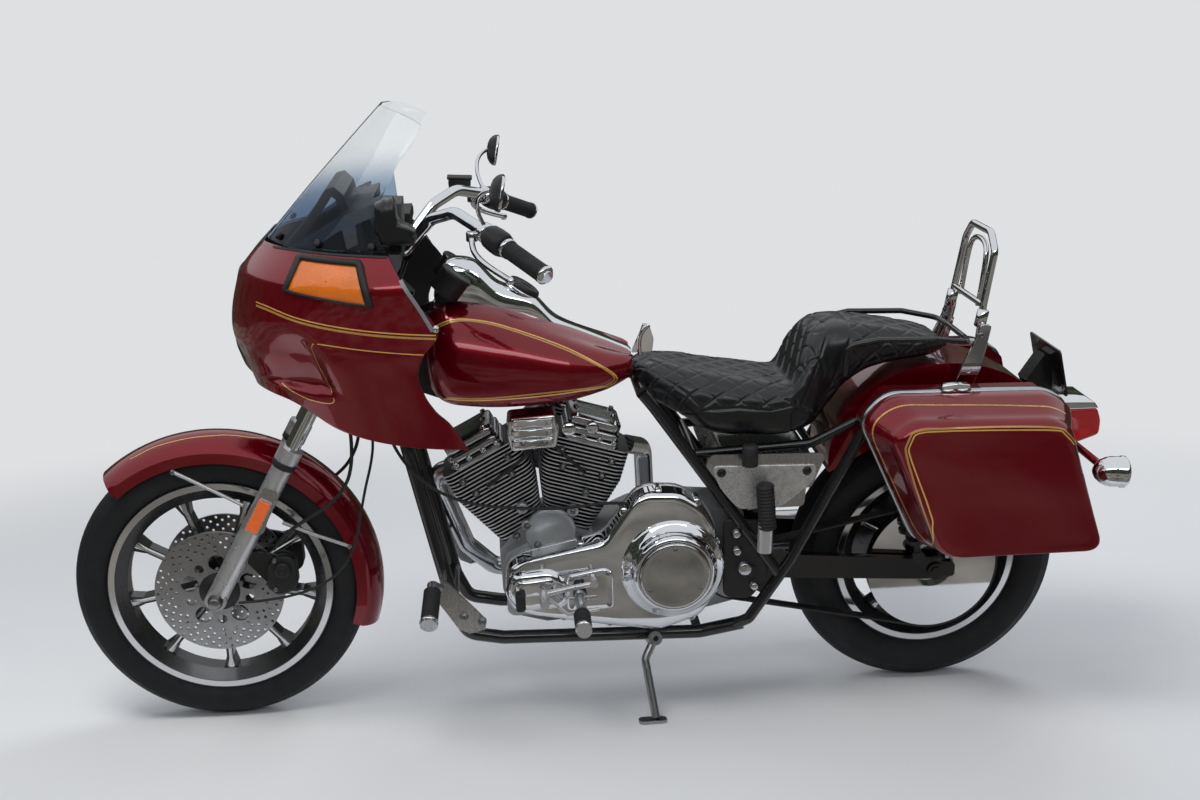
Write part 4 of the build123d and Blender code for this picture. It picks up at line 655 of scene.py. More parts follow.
def tube(name, points, radius, material, body="chassis", smooth=True):
    """A round rod or hose along upright millimetre points."""
    data = bpy.data.curves.new(name, "CURVE")
    data.dimensions = "3D"
    data.bevel_depth = radius * MM
    data.bevel_resolution = 6
    data.resolution_u = 10
    data.use_fill_caps = True
    spline = data.splines.new("NURBS" if smooth else "POLY")
    spline.points.add(len(points) - 1)
    for point, place in zip(spline.points, points):
        point.co = (*[v * MM for v in place], 1)
    if smooth:
        spline.order_u = 3
        spline.use_endpoint_u = True
    return join(bpy.data.objects.new(name, data), material, body)


def plate(name, outlines, y, half, material, body="chassis", edge=0.8):
    """A flat plate square to the bike's side: the first outline less the others, points (x, z)."""
    data = bpy.data.curves.new(name, "CURVE")
    data.dimensions = "2D"
    data.fill_mode = "BOTH"
    data.extrude = (half - edge) * MM
    data.bevel_depth = edge * MM
    data.bevel_resolution = 2
    data.offset = -edge * MM
    for outline in outlines:
        spline = data.splines.new("POLY")
        spline.points.add(len(outline) - 1)
        for point, (x, z) in zip(spline.points, outline):
            point.co = (x * MM, z * MM, 0, 1)
        spline.use_cyclic_u = True
    piece = join(bpy.data.objects.new(name, data), material, body)
    piece.matrix_world = (LEANED @ Matrix.Translation((0, y * MM, 0))
                          @ Matrix.Rotation(pi / 2, 4, "X"))
    return piece


def circle(x, z, radius, count=24, start=0.0):
    """Points round a circle, such as a hole's edge or a ring of bolts."""
    angles = [start + 2 * pi * k / count for k in range(count)]
    return [(x + radius * cos(angle), z + radius * sin(angle)) for angle in angles]


def around(axis, count):
    """Directions square to an axis, all the way round, and the axis at length 1."""
    axis = Vector(axis).normalized()
    side = axis.orthogonal().normalized()
    other = axis.cross(side)
    angles = [2 * pi * k / count for k in range(count)]
    return axis, [side * cos(angle) + other * sin(angle) for angle in angles]


def turned(name, profile, centre, material, body="chassis", axis=LEFT, count=48, slot=None):
    """A turned piece: profile is (radius, distance along the axis from the centre)."""
    axis, spokes = around(axis, count)
    middle = Vector(centre)
    grid = [[middle + axis * along + spoke * max(radius, 0.01) for spoke in spokes]
            for radius, along in profile]
    return outward(grid_piece(name, grid, material, body, wrap=True, caps=(0, -1)))


# A cap screw's half section with its hexagon socket, as shares of its radius and height.
SCREW = ((1.25, -1.0), (1.25, 0.12), (1.0, 0.2), (1.0, 0.75), (0.88, 0.98), (0.60, 1.0),
         (0.52, 0.97), (0.5, 0.35), (0.0, 0.3))


def screws(name, places, radius, material, body="chassis", axis=LEFT, height=None):
    """Domed cap screws, all in one piece."""
    height = height or radius * 0.9
    axis, spokes = around(axis, 12)
    points, faces = [], []
    for place in places:
        faces += grid_faces(len(SCREW), len(spokes), wrap=True, start=len(points))
        points += [Vector(place) + axis * high * height + spoke * wide * radius
                   for wide, high in SCREW for spoke in spokes]
    return outward(new_piece(name, points, faces, material, body))


def ribbed(start, stop, pitch, crest, root, marks):
    """The half section of ribbed rubber, and where it ends: each rib is at its crest up to the
    first mark and at its root between the others."""
    profile, at = [], start
    while at < stop:
        profile += [(crest, at), (crest, at + marks[0]), (root, at + marks[1]),
                    (root, at + marks[2])]
        at += pitch
    return profile, at


def rounded_outline(points, radius, per_corner=10, per_edge=12):
    """The outline with rounded corners, the same number of points for each corner and edge."""
    p = np.asarray(points, float)

    def cuts(k):
        """Where the rounding of corner k begins and ends."""
        here = p[k % len(p)]
        ways = p[(k - 1) % len(p)] - here, p[(k + 1) % len(p)] - here
        sizes = [np.linalg.norm(way) for way in ways]
        cut = min(radius, 0.42 * sizes[0], 0.42 * sizes[1])
        return [here + way / size * cut for way, size in zip(ways, sizes)]

    out = []
    for k, here in enumerate(p):
        (a, b), c = cuts(k), cuts(k + 1)[0]
        t = np.linspace(0, 1, per_corner)[:, None]
        out.append((1 - t) ** 2 * a + 2 * t * (1 - t) * here + t ** 2 * b)
        t = np.linspace(0, 1, per_edge + 2)[1:-1, None]
        out.append(b + (c - b) * t)
    return np.vstack(out)


# ---------------------------------------------------------------- fairing and screen
# Height, front, half-width at the middle, half-width at the rear: the CAD's own levels.
FAIRING_LEVELS = ((690, 1462, 268, 300), (850, 1519, 300, 322), (960, 1553, 322, 330),
                  (1069, 1530, 318, 322), (1150, 1462, 264, 276))
FAIRING_TIP_X, FAIRING_MID_X, FAIRING_REAR_X, NOSE_HALF = 1553, 1330, 1040, 92
# The skin's rear edge as (z, x), then its foot and its top as (x, z).
FAIRING_BACK = ((728, 1058), (792, 1094), (819, 1119), (859, 1141), (901, 1151), (943, 1137),
                (985, 1107), (1063, 1156), (1137, 1199))
FAIRING_FOOT = ((1040, 726), (1200, 745), (1281, 760), (1340, 780), (1384, 808), (1436, 826),
                (1640, 834))
FAIRING_TOP = ((1040, 1136), (1640, 1142))
# Lines on the flank as (x, z).
UPPER_LINE = ((1478, 1033), (1447, 1029), (1380, 1014.5), (1270, 1000), (1112, 984))
PANEL_LINE = ((1138, 946), (1250, 958), (1345, 967), (1360, 961), (1362, 945), (1350, 905),
              (1330, 858), (1326, 842), (1336, 834), (1370, 835), (1402, 843), (1440, 858))
EDGE_TRIM = ((1194.5, 1133), (1169.5, 1085), (1143.5, 1042), (1117.5, 993))
GASKET_LINE = ((1441, 1136), (1396, 1138), (1336, 1138), (1276, 1137), (1201, 1135))


def fairing_arc(z):
    """Front, centre, radius and first angle of the fairing's side arc at each height."""
    front, middle, rear = (column(FAIRING_LEVELS, z, number) for number in (1, 2, 3))
    ox, oy = circle_through(front, NOSE_HALF, FAIRING_MID_X - (FAIRING_TIP_X - front) * 0.4,
                            middle, FAIRING_REAR_X, rear)
    return (front, ox, oy, np.hypot(front - ox, NOSE_HALF - oy),
            np.arctan2(NOSE_HALF - oy, front - ox))


def fairing_point(z, distance):
    """Place along and out at a distance from the nose's centre round the section."""
    front, ox, oy, radius, start = fairing_arc(z)
    angle = start + np.maximum(distance - NOSE_HALF, 0) / radius
    flat = distance < NOSE_HALF
    return (np.where(flat, front, ox + radius * np.cos(angle)),
            np.where(flat, distance, oy + radius * np.sin(angle)))


def fairing_reach(z, x):
    """Distance round the section at which the arc comes back to x."""
    _, ox, _, radius, start = fairing_arc(z)
    return NOSE_HALF + (np.arccos(np.clip((x - ox) / radius, -1, 1)) - start) * radius


def bump_between(value, low, high, soft_low, soft_high):
    """1 inside low..high, fading to 0 over the soft widths inside each end."""
    return smoothstep(value - low, 0, soft_low) * smoothstep(high - value, 0, soft_high)


def both_halves(grid):
    """The left half's columns of points with their mirror images before them."""
    return np.concatenate((grid[:, :0:-1] * (1, -1, 1), grid), axis=1)


def make_fairing():
    """The fairing's skin with its scoops, and the trim, bolts and gold lines on it."""
    rows, half = 72, 84
    t, s = np.meshgrid(np.linspace(0, 1, rows), np.linspace(0, 1, half), indexing="ij")
    z = 728 + t * 410
    # The heights settle between the foot and top lines over some rounds.
    for _ in range(40):
        x, y = fairing_point(z, s * fairing_reach(z, column(FAIRING_BACK, z)))
        low, high = column(FAIRING_FOOT, x), column(FAIRING_TOP, x)
        z = 0.5 * z + 0.5 * (low + t * (high - low))
    # The scoop ahead of the side panel: its rear and lower walls are crisp, its front fades out.
    panel_edge = 1323 + (z - 856) * 0.33
    scoop = bump_between(x, panel_edge, 1502, 16, 90) * bump_between(z, 852, 1000, 14, 70)
    grid = np.stack((x - 10 * scoop, y - 24 * scoop, z), axis=-1)
    skin = grid_piece("fairing_skin", blur(both_halves(grid), 8, 1), RED)
    outward_from(skin)
    open_nose(skin)
    tree = surface_tree(skin)
    skin.data.materials.append(SATIN)
    solid = thicken(skin, 4.0, rim=1.0)
    solid.material_offset = solid.material_offset_rim = 1
    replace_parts(skin, "fairing_shell")
    band = [(x, z - 7) for x, z in UPPER_LINE]
    for side, tag in SIDES:
        stripe("fairing_line_" + tag, tree, UPPER_LINE, side, 2.6, GOLD)
        stripe("fairing_band_" + tag, tree, band, side, 4.6, DARK_GOLD)
        stripe("fairing_panel_line_" + tag, tree, PANEL_LINE, side, 2.2, GOLD)
        make_signal(tree, side, tag)
        stripe("fairing_edge_trim_" + tag, tree, EDGE_TRIM, side, 8, GREY_TRIM, lift=1.2)
        foot = onto(tree, (1112, side * FLANK_Y, 996), (0, -side, 0))[0]
        screws("fairing_edge_bolt_" + tag, [foot], 6, CHROME, axis=(0, side, 0))
        stripe("screen_gasket_" + tag, tree, GASKET_LINE, side, 5, RUBBER, lift=1.4)
    make_lamp()


LAMP_Z, LAMP_HALF, LAMP_TALL = 952.0, 92.0, 116.0
# How far forward the glass stands at each height, and how much it curves back to the sides.
LAMP_FRONT = ((834, 1518), (870, 1538), (915, 1552), (962, 1556), (1015, 1550), (1070, 1534))
LAMP_CURVE = 0.0011
NOSE_FROM_X = 1440                      # the skin ahead of this is the nose


def lamp_outline(scale, count=72):
    """The lamp's rounded outline as (y, z) points, scaled about its own centre."""
    angle = np.linspace(0, 2 * pi, count, endpoint=False)
    return np.column_stack((squared(np.cos(angle), 0.62) * LAMP_HALF * scale,
                            squared(np.sin(angle), 0.62) * LAMP_TALL * scale + LAMP_Z))


def lamp_ring(scale, back=0.0):
    """The lamp's outline on its curved front, or a distance behind that."""
    ring = lamp_outline(scale)
    y, z = ring.T
    return station(straight(LAMP_FRONT, z) - LAMP_CURVE * y ** 2 - back, ring)


def open_nose(skin):
    """Cuts the lamp's opening out of the nose."""
    work = bmesh.new()
    work.from_mesh(skin.data)
    inside = []
    for face in work.faces:
        x, y, z = face.calc_center_median() / MM
        spread = abs(y / (LAMP_HALF - 4)) ** 3.2 + abs((z - LAMP_Z) / (LAMP_TALL - 4)) ** 3.2
        if x > NOSE_FROM_X and spread < 1:
            inside.append(face)
    bmesh.ops.delete(work, geom=inside, context="FACES")
    work.to_mesh(skin.data)
    work.free()


def make_lamp():
    """The headlamp: clear curved glass in a black rim, with a bright bowl behind it."""
    rings = [lamp_ring(scale) for scale in (1.0, 0.985, 0.93, 0.8, 0.6, 0.4, 0.2, 0.02)]
    glass = grid_piece("lamp_glass", rings, LENS, wrap=True)
    outward_from(glass)
    thicken(glass, 3.0)
    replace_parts(glass, "headlamp")
    rim = [lamp_ring(scale, back) for scale, back in (
        (0.975, 0.5), (0.985, -2.0), (1.02, -2.5), (1.045, 0), (1.05, 14), (1.0, 26))]
    outward(grid_piece("lamp_rim", rim, BLACK, wrap=True))
    bowl = [(80, 26), (76, 27), (73, 20), (62, -2), (46, -20), (28, -32), (12, -36), (11, -20),
            (7, -16), (0, -15)]
    turned("lamp_bowl", bowl, (1494, 0, 955), CHROME, axis=AHEAD, slot="chrome")
    housing = [station(x, lamp_outline(scale))
               for scale, x in ((0.97, 1506), (0.95, 1474), (0.02, 1474))]
    grid_piece("lamp_housing", housing, SATIN, wrap=True)


def make_signal(tree, side, tag):
    """A turn signal let into the fairing: black bezel and ribbed amber glass."""
    outer = rounded_outline([(1414, 1067), (1382, 1133), (1249, 1129), (1229, 1043)], 9)
    inner = rounded_outline([(1402, 1070), (1375, 1123), (1262, 1119), (1245, 1050)], 4)

    def laid(outline, lift):
        """The outline as places on the fairing's skin, lifted off it."""
        return [onto(tree, (x, side * FLANK_Y, z), (0, -side, 0), lift)[0] for x, z in outline]

    rings = [laid(outer, -1), laid(outer, 5), laid((outer + inner) / 2, 7), laid(inner, 6),
             laid(inner, 0)]
    outward(grid_piece("signal_bezel_" + tag, rings, SATIN, wrap=True))
    middle = inner.mean(axis=0)
    rings = [laid(middle + (inner - middle) * scale, 1.5 + 3 * (1 - scale))
             for scale in (1.0, 0.9, 0.75, 0.55, 0.35, 0.15, 0.02)]
    lens = grid_piece("signal_lens_" + tag, rings, AMBER, wrap=True)
    outward_side(lens, side)
    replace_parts(lens, "front_signals")


# The screen's section at each height: its front, its flat half-width, then the (x, y) of the
# curve's middle and of its rear end.
SHIELD_LEVELS = ((1138, 1464, 78, 1372, 214, 1206, 272), (1240, 1372, 62, 1304, 168, 1211, 219),
                 (1330, 1287, 50, 1240, 128, 1178, 176), (1406, 1214, 40, 1186, 92, 1146, 138))
SHIELD_BACK = ((1138, 1206), (1240, 1211), (1315, 1175), (1380, 1130), (1500, 1100))
SHIELD_FOOT, SHIELD_TOP = 1140, 1406
KNOB_PLACES = ((1431, 1151), (1342, 1151), (1232, 1147))


def make_screen():
    """The clear screen, tinted low down, with its three fixing knobs a side."""
    rows, half = 48, 40
    heights = np.linspace(SHIELD_FOOT, SHIELD_TOP, rows)
    lines = []
    for z, front, flat, mid_x, mid_y, rear_x, rear_y in zip(
            heights, *(column(SHIELD_LEVELS, heights, number) for number in range(1, 7))):
        rear_x = max(straight(SHIELD_BACK, z), rear_x - 20)
        line = smooth_path(((front, 0), (front, flat), (mid_x, mid_y), (rear_x, rear_y)), 2.0)
        run = distances(line)
        at = np.linspace(0, run[-1], half)
        lines.append([(np.interp(d, run, line[:, 0]), np.interp(d, run, line[:, 1]), z)
                      for d in at])
    grid = np.array(lines)
    # The top corner is rounded off towards the rear edge.
    fall = np.linspace(0, 1, half) ** 3
    rise = (grid[:, :, 2] - SHIELD_FOOT) / (SHIELD_TOP - SHIELD_FOOT)
    grid[:, :, 2] -= 34 * fall * np.clip(rise, 0, 1) ** 3
    screen = grid_piece("screen", blur(both_halves(grid), 6, 1), GLASS)
    outward_from(screen)
    tree = surface_tree(screen)
    thicken(screen, 3.5, rim=0.8)
    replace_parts(screen, "windshield")
    knob = [(7.5, 0), (8, 1.5), (8, 6), (6.5, 7.5), (2, 8), (0, 8)]
    for side, tag in SIDES:
        for number, (x, z) in enumerate(KNOB_PLACES, 1):
            found, normal = onto(tree, (x, side * FLANK_Y, z), (0, -side, 0))
            turned(f"screen_knob_{tag}_{number}", knob, found, SATIN, axis=normal, count=20)


# ---------------------------------------------------------------- tank
# The tank's section at each x: the half-widths of base and side, their heights, the half-width
# and height where the crown begins, and the height of the crest.
TANK_STATIONS = ((692, 66, 88, 804, 822, 44, 840, 850), (760, 104, 130, 780, 826, 68, 870, 882),
                 (860, 126, 152, 762, 846, 80, 912, 926), (980, 132, 158, 757, 872, 84, 956, 972),
                 (1086, 124, 150, 764, 880, 84, 974, 990), (1126, 104, 130, 778, 876, 78, 960, 976),
                 (1152, 66, 84, 812, 872, 56, 924, 938))
TANK_TAIL_X, TANK_NOSE_X = 692, 1152
# The gold line on the tank's side, as (x, z), and the point that its inner band is drawn to.
TANK_LINE = ((1118, 950), (1090, 960), (1050, 961), (983, 946), (856, 896), (771, 848),
             (736, 822), (734, 810), (750, 800), (772, 796), (903, 784), (1033, 780), (1110, 786))
TANK_LINE_MIDDLE = (930, 865)


def arc_between(a, b, c, count):
    """Points on the arc from a through b to c, a included and c left out."""
    ox, oy = circle_through(*a, *b, *c)
    start, middle, end = (np.arctan2(y - oy, x - ox) for x, y in (a, b, c))
    turn = (end - start) % (2 * pi)
    if (middle - start) % (2 * pi) > turn:
        turn -= 2 * pi
    angle = start + turn * np.arange(count) / count
    radius = np.hypot(a[0] - ox, a[1] - oy)
    return np.column_stack((ox + radius * np.cos(angle), oy + radius * np.sin(angle)))


def make_tank():
    """The tank as one smooth teardrop, with its double gold line on both sides."""
    x = np.concatenate(([692, 694, 698], np.linspace(704, 1140, 62), [1146, 1150, 1152]))
    rings = []
    for place, base, side, base_z, side_z, top, top_z, crest in zip(
            x, *(column(TANK_STATIONS, x, number) for number in range(1, 8))):
        belly = [(y, base_z) for y in np.linspace(-base, base, 14, endpoint=False)]
        ring = np.vstack((belly, arc_between((base, base_z), (side, side_z), (top, top_z), 26),
                          arc_between((top, top_z), (0, crest), (-top, top_z), 20),
                          arc_between((-top, top_z), (-side, side_z), (-base, base_z), 26)))
        ring = blur(ring, 3, 0, wrap=True)
        # The last rings at each end are drawn in a little.
        near = min(place - TANK_TAIL_X, TANK_NOSE_X - place)
        shrink = 1 - 0.16 * (1 - np.clip(near / 10, 0, 1)) ** 2
        middle = np.array((0, (base_z + crest) / 2))
        rings.append(station(place, middle + (ring - middle) * shrink))
    tank = grid_piece("tank_skin", blur(np.array(rings), 3, 0), RED, wrap=True, caps=(0, -1))
    outward(tank)
    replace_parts(tank, "tank")
    tree = surface_tree(tank)
    for side, tag in SIDES:
        for name, inward, width, paint in (("line", 0, 3.4, GOLD), ("band", 6.5, 4.2, DARK_GOLD)):
            path = inset(TANK_LINE, inward, TANK_LINE_MIDDLE)
            stripe(f"tank_{name}_{tag}", tree, path, side, width, paint, y=130, lean=-0.25)
    make_console()


# The console's crest and its half-width at each x.
CONSOLE_TOP = ((692, 852), (780, 893), (858, 930), (912, 986), (980, 1010), (1040, 1066),
               (1076, 1071), (1104, 1060), (1122, 1006))
CONSOLE_HALF = ((692, 22), (780, 34), (900, 46), (980, 51), (1060, 52), (1122, 48))
CONSOLE_FOOT = 925                      # it reaches down to here, inside the tank
FILLER_AT, FILLER_AXIS = (930, 0, 992), (-0.55, 0, 0.84)


def make_console():
    """The chrome console on the tank's ridge and its black filler cap in a chrome ring."""
    x = np.concatenate(([690, 692, 696], np.linspace(702, 1112, 60), [1118, 1122, 1124]))
    angle = np.linspace(0, pi, 33)
    rings = []
    for place, top, half in zip(x, column(CONSOLE_TOP, x), column(CONSOLE_HALF, x)):
        deep = min(top - 40, CONSOLE_FOOT)
        rings.append(station(place, np.column_stack((
            half * squared(np.cos(angle), 0.5), deep + (top - deep) * np.sin(angle) ** 0.42))))
    rings[0][:, 2] -= 6
    rings[-1][:, 2] -= 10
    console = grid_piece("console_skin", blur(np.array(rings), 2, 0), CHROME, caps=(0, -1))
    outward_from(console)
    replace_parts(console, "tank_console")
    cap = [(36, -4), (38, 0), (38, 8), (35, 14), (30, 16), (29, 14), (14, 13), (12, 17), (0, 18)]
    turned("filler_cap", cap, FILLER_AT, SATIN, axis=FILLER_AXIS, slot="black_plastic")
    turned("filler_ring", [(41, -5), (42, 0), (39, 3), (37, 1), (37, -5)], FILLER_AT, CHROME,
           axis=FILLER_AXIS)


# ---------------------------------------------------------------- seat
SEAT_TAIL_X, SEAT_NOSE_X = -30, 696
# The top line, the under side and the half-width at each x.
SEAT_TOP = ((-30, 842), (-12, 855), (49, 873), (166, 896), (235, 904), (266, 906), (278, 898),
            (306, 855), (334, 802), (352, 782), (372, 781), (441, 790), (533, 806), (624, 826),
            (669, 836), (696, 826))
SEAT_UNDER = ((-30, 832), (-16, 824), (95, 814), (165, 797), (216, 764), (250, 716), (287, 670),
              (372, 654), (462, 658), (530, 668), (574, 703), (641, 741), (684, 768), (696, 800))
SEAT_HALF = ((-30, 78), (60, 110), (262, 118), (310, 146), (420, 156), (550, 148), (640, 110),
             (696, 62))
# The rolled side seam: quilting above it, a plain skirt below.
SEAT_SEAM = ((262, 700), (318, 728), (349, 737), (396, 730), (465, 739), (540, 737), (603, 712),
             (640, 690), (700, 690))
# The middle of the plain roll between the two seats, as (z, x).
BOLSTER = ((716, 318), (735, 300), (800, 270), (880, 236), (930, 228))
BOLSTER_HALF = 28                       # half its width
FACE_HALF = 112                         # half the width of the step's quilted face
DIAMOND = 58.0                          # side of a quilted diamond
STEP_AT = (352, 785)                    # the foot of the step between the two seats


def seat_base():
    """The seat before it is stuffed: a boxy tube of leather, closed at both ends."""
    x = np.linspace(SEAT_TAIL_X, SEAT_NOSE_X, 150)
    angle = np.linspace(0, 2 * pi, 96, endpoint=False)
    rings = []
    for place, top, under, half in zip(x, *(column(table, x) for table in (
            SEAT_TOP, SEAT_UNDER, SEAT_HALF))):
        middle, tall = (top + under) / 2, (top - under) / 2 - 7
        rings.append(station(place, np.column_stack((
            (half - 8) * squared(np.cos(angle), 0.52),
            middle + tall * squared(np.sin(angle), 0.50)))))
    return outward(grid_piece("seat_cushion", rings, LEATHER, wrap=True, caps=(0, -1)))


def applied(piece):
    """The piece's mesh with its modifiers applied, which then has none."""
    bpy.context.view_layer.update()
    scene_now = bpy.context.evaluated_depsgraph_get()
    mesh = bpy.data.meshes.new_from_object(piece.evaluated_get(scene_now))
    piece.modifiers.clear()
    piece.data = mesh
    return mesh


def vectors(mesh, which="co"):
    """Every vertex's place in a mesh, or its normal."""
    flat = np.empty(len(mesh.vertices) * 3)
    mesh.vertices.foreach_get(which, flat)
    return flat.reshape(-1, 3)


def set_places(mesh, points):
    """Moves a mesh's vertices to the given points."""
    mesh.vertices.foreach_set("co", points.ravel())
    mesh.update()


def swell(piece, voxel=5.5, pressure=4.0, most=9.0, frames=20):
    """Stuffs a closed form by cloth under pressure, each point moved by most millimetres or
    less; gives its places before and after."""
    modify(piece, "REMESH", mode="VOXEL", voxel_size=voxel * MM)
    before = vectors(applied(piece))
    cloth = modify(piece, "CLOTH")
    settings = cloth.settings
    settings.quality = 5
    settings.use_pressure = True
    settings.uniform_pressure_force = pressure
    settings.effector_weights.gravity = 0
    settings.tension_stiffness = settings.compression_stiffness = 30
    cloth.collision_settings.use_collision = False
    scene = bpy.context.scene
    for number in range(1, frames + 1):
        scene.frame_set(number)
    after = vectors(applied(piece))
    scene.frame_set(1)
    move = after - before
    size = np.linalg.norm(move, axis=1, keepdims=True)
    move *= np.minimum(1, most * MM / np.maximum(size, 1e-9))
    return before, before + move


def quilt(points, normals):
    """How deep each point lies under the cover's puffs, and 1 on the rows of stitches."""
    x, y, z = points.T / MM
    at = np.linspace(-40, 710, 1500)
    top = column(SEAT_TOP, np.clip(at, SEAT_TAIL_X, SEAT_NOSE_X))
    run = distances(np.column_stack((at, top)))
    # Points on the sides lean towards the profile's own normal, so the diamonds wrap round.
    along = np.interp(x, at, run)
    drop = np.maximum(np.interp(x, at, top) - z, 0)
    steep = np.clip(np.interp(x, at, np.abs(np.gradient(top, at))) - 0.4, 0, 1)
    across = np.abs(y) + drop * (1 - steep)
    a, b = (along + across) / DIAMOND, (along - across) / DIAMOND
    from_line = DIAMOND / 1.414 * np.minimum(np.abs(a - np.round(a)), np.abs(b - np.round(b)))
    # Where the diamonds lie: above the seam in front, on top behind, and not on the bolster.
    seam = straight(SEAT_SEAM, x)
    front = smoothstep(z, seam + 3, seam + 9) * smoothstep(x, 300, 306)
    rear = smoothstep(x, -40, -20) * smoothstep(-x, -296, -290)
    bolster = straight(BOLSTER, z)
    face = smoothstep(np.abs(y), FACE_HALF, FACE_HALF - 6)
    over = np.where(x > bolster, np.maximum(front, face), rear)
    over = np.where((x > bolster) & (x < 372) & (np.abs(y) > 118) & (z > 752), 0, over)
    over = (over * smoothstep(np.abs(x - bolster), BOLSTER_HALF - 2, BOLSTER_HALF + 2)
            * smoothstep(normals[:, 2] + 0.6 * (z > seam), -0.1, 0.1))
    depth = over * (2.8 * np.exp(-(from_line / 3.4) ** 2) - 0.8 * smoothstep(from_line, 4, 16))
    # The seam's, the bolster's and the face's own grooves: distance from each, and its width.
    for edge, width in ((np.abs(z - seam) + 100 * (x < 300), 3.2),
                        (np.abs(np.abs(x - bolster) - BOLSTER_HALF) + 100 * (np.abs(y) > 150),
                         2.6),
                        (np.abs(np.abs(y) - FACE_HALF) + 200 * ((x < bolster) | (x > 372)),
                         2.6)):
        depth = np.maximum(depth, 2.6 * np.exp(-(edge / width) ** 2))
    stitch = over * (np.abs(from_line - 4.6) < 1.0)
    return depth, stitch


def make_seat():
    """The stepped seat: a stuffed form, swollen by cloth, with quilted diamonds."""
    seat = seat_base()
    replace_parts(seat, "seat")
    before, points = swell(seat)
    # The underside and the crease at the step keep their place.
    x, _, z = before.T / MM
    crease = np.clip(np.hypot((x - STEP_AT[0]) / 46, (z - STEP_AT[1]) / 40), 0.1, 1)
    share = smoothstep(z, 650, 690) * crease
    set_places(seat.data, before + (points - before) * share[:, None])
    modify(seat, "SMOOTH", factor=0.5, iterations=14)
    modify(seat, "SUBSURF", levels=1, render_levels=1)
    mesh = applied(seat)
    points, normals = vectors(mesh), vectors(mesh, "normal")
    depth, stitch = quilt(points, normals)
    points -= normals * depth[:, None] * MM
    # The nose ends at the tank's tail.
    points[:, 0] = np.minimum(points[:, 0], (SEAT_NOSE_X - 2) * MM)
    set_places(mesh, points)
    for polygon in mesh.polygons:
        polygon.use_smooth = True
    mark = mesh.attributes.new("stitch", "FLOAT", "POINT")
    mark.data.foreach_set("value", stitch.astype(np.float32))


def make_nose_bracket():
    """The small chrome bracket at the seat's nose: a bent rod and a flat plate."""
    tube("nose_bracket_left", [(672, 22, 838), (676, 22, 868), (664, 22, 898), (650, 22, 906)], 5,
         CHROME)
    bracket = rounded_outline([(692, 842), (644, 842), (640, 872), (650, 904), (664, 908),
                               (672, 886)], 5)
    plate("nose_bracket", [bracket], 14, 4, CHROME)


# ---------------------------------------------------------------- saddlebags
# The lid's outlines as (x, z), where it meets the shell and at its flat face.
BAG_SEAM = ((162, 784), (217, 724), (84, 437), (-310, 437), (-236, 748), (-190, 777))
BAG_FACE = ((116, 738), (160, 714), (48, 449), (-292, 449), (-192, 708), (-156, 727))
BAG_SEAM_Y, BAG_FACE_Y = 206.0, 350.0
# The gold loop, near the skin it is laid on; from BAG_TURN_Y outwards it lies on the face.
BAG_TURN_Y = 310
BAG_LOOP = ((-212, 286, 742), (-177, 289, 760), (-60, 282, 768), (60, 278, 772),
            (140, 274, 772), (172, 268, 758), (186, 262, 736), (186, 258, 700),
            (150, 262, 600), (112, 268, 505), (98, 276, 480), (84, 292, 466),
            (70, 312, 468), (66, 326, 486), (78, 336, 520), (140, 342, 676),
            (146, 344, 702), (136, 345, 722), (110, 346, 736), (-150, 346, 728),
            (-186, 344, 716), (-208, 340, 690))


def bag_rings():
    """The lid's rings from its seam outwards: how far each has turned from the seam's outline
    into the face's, how far out it lies, and its scale."""
    rings = [(0.0, 0.0, 1.0), (0.0, 0.30, 1.0)]
    rings += [(0.55 * k / 9, 0.30 + 0.46 * k / 9, 1.0) for k in range(1, 9)]
    for k in range(9):
        turn = pi / 2 * k / 8
        rings.append((0.55 + 0.45 * (1 - cos(turn)) * 0.9 + 0.045 * k / 8,
                      0.77 + 0.23 * sin(turn) * 0.95, 1.0))
    rings += [(1.0, 0.9885 + 0.0115 * sin(pi / 2 * k / 11), 1 - k / 11.5) for k in range(1, 12)]
    return rings


def make_bags():
    """The bags' outer lids as soft-cornered shells, with gold loops, silver trim and a latch."""
    seam, face = rounded_outline(BAG_SEAM, 34), rounded_outline(BAG_FACE, 44)
    middle = face.mean(axis=0)
    for side, tag in SIDES:
        body = "bag_lid_" + tag
        grid = []
        for blend, out, scale in bag_rings():
            ring = seam + (face - seam) * blend
            y = BAG_SEAM_Y + (BAG_FACE_Y - BAG_SEAM_Y) * out
            grid.append(level(middle + (ring - middle) * scale, side * y))
        lid = grid_piece("bag_skin_" + tag, grid, RED, body, wrap=True, caps=(-1,))
        outward(lid)
        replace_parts(lid, body)
        bag_lines(lid, side, tag, body)
        bag_trim(seam, middle, side, tag, body)


def bag_lines(lid, side, tag, body):
    """The double gold loop round the shoulder, closed at the foot of the front edge."""
    tree = surface_tree(lid)
    middle = np.array((-60.0, 300.0, 610.0))
    for name, width, paint, shift in (("line", 3.2, GOLD, 0.0), ("band", 4.4, DARK_GOLD, 7.0)):
        places, normals = [], []
        for place in smooth_path(BAG_LOOP):
            inward = (middle - place) * (1, 0, 1)
            share = 0.35 if place[1] < BAG_TURN_Y else -1.0
            place = place + inward / np.linalg.norm(inward) * shift * share
            hit, normal, _, _ = tree.find_nearest(Vector(place * (1, side, 1)) * MM)
            places.append(np.array(hit) / MM + np.array(normal) * 0.4)
            normals.append(normal)
        laid = list(zip(blur(np.array(places), 3, 0), normals))
        ribbon(f"bag_{name}_{tag}", tree, laid, width, paint, body, lift=0.4)


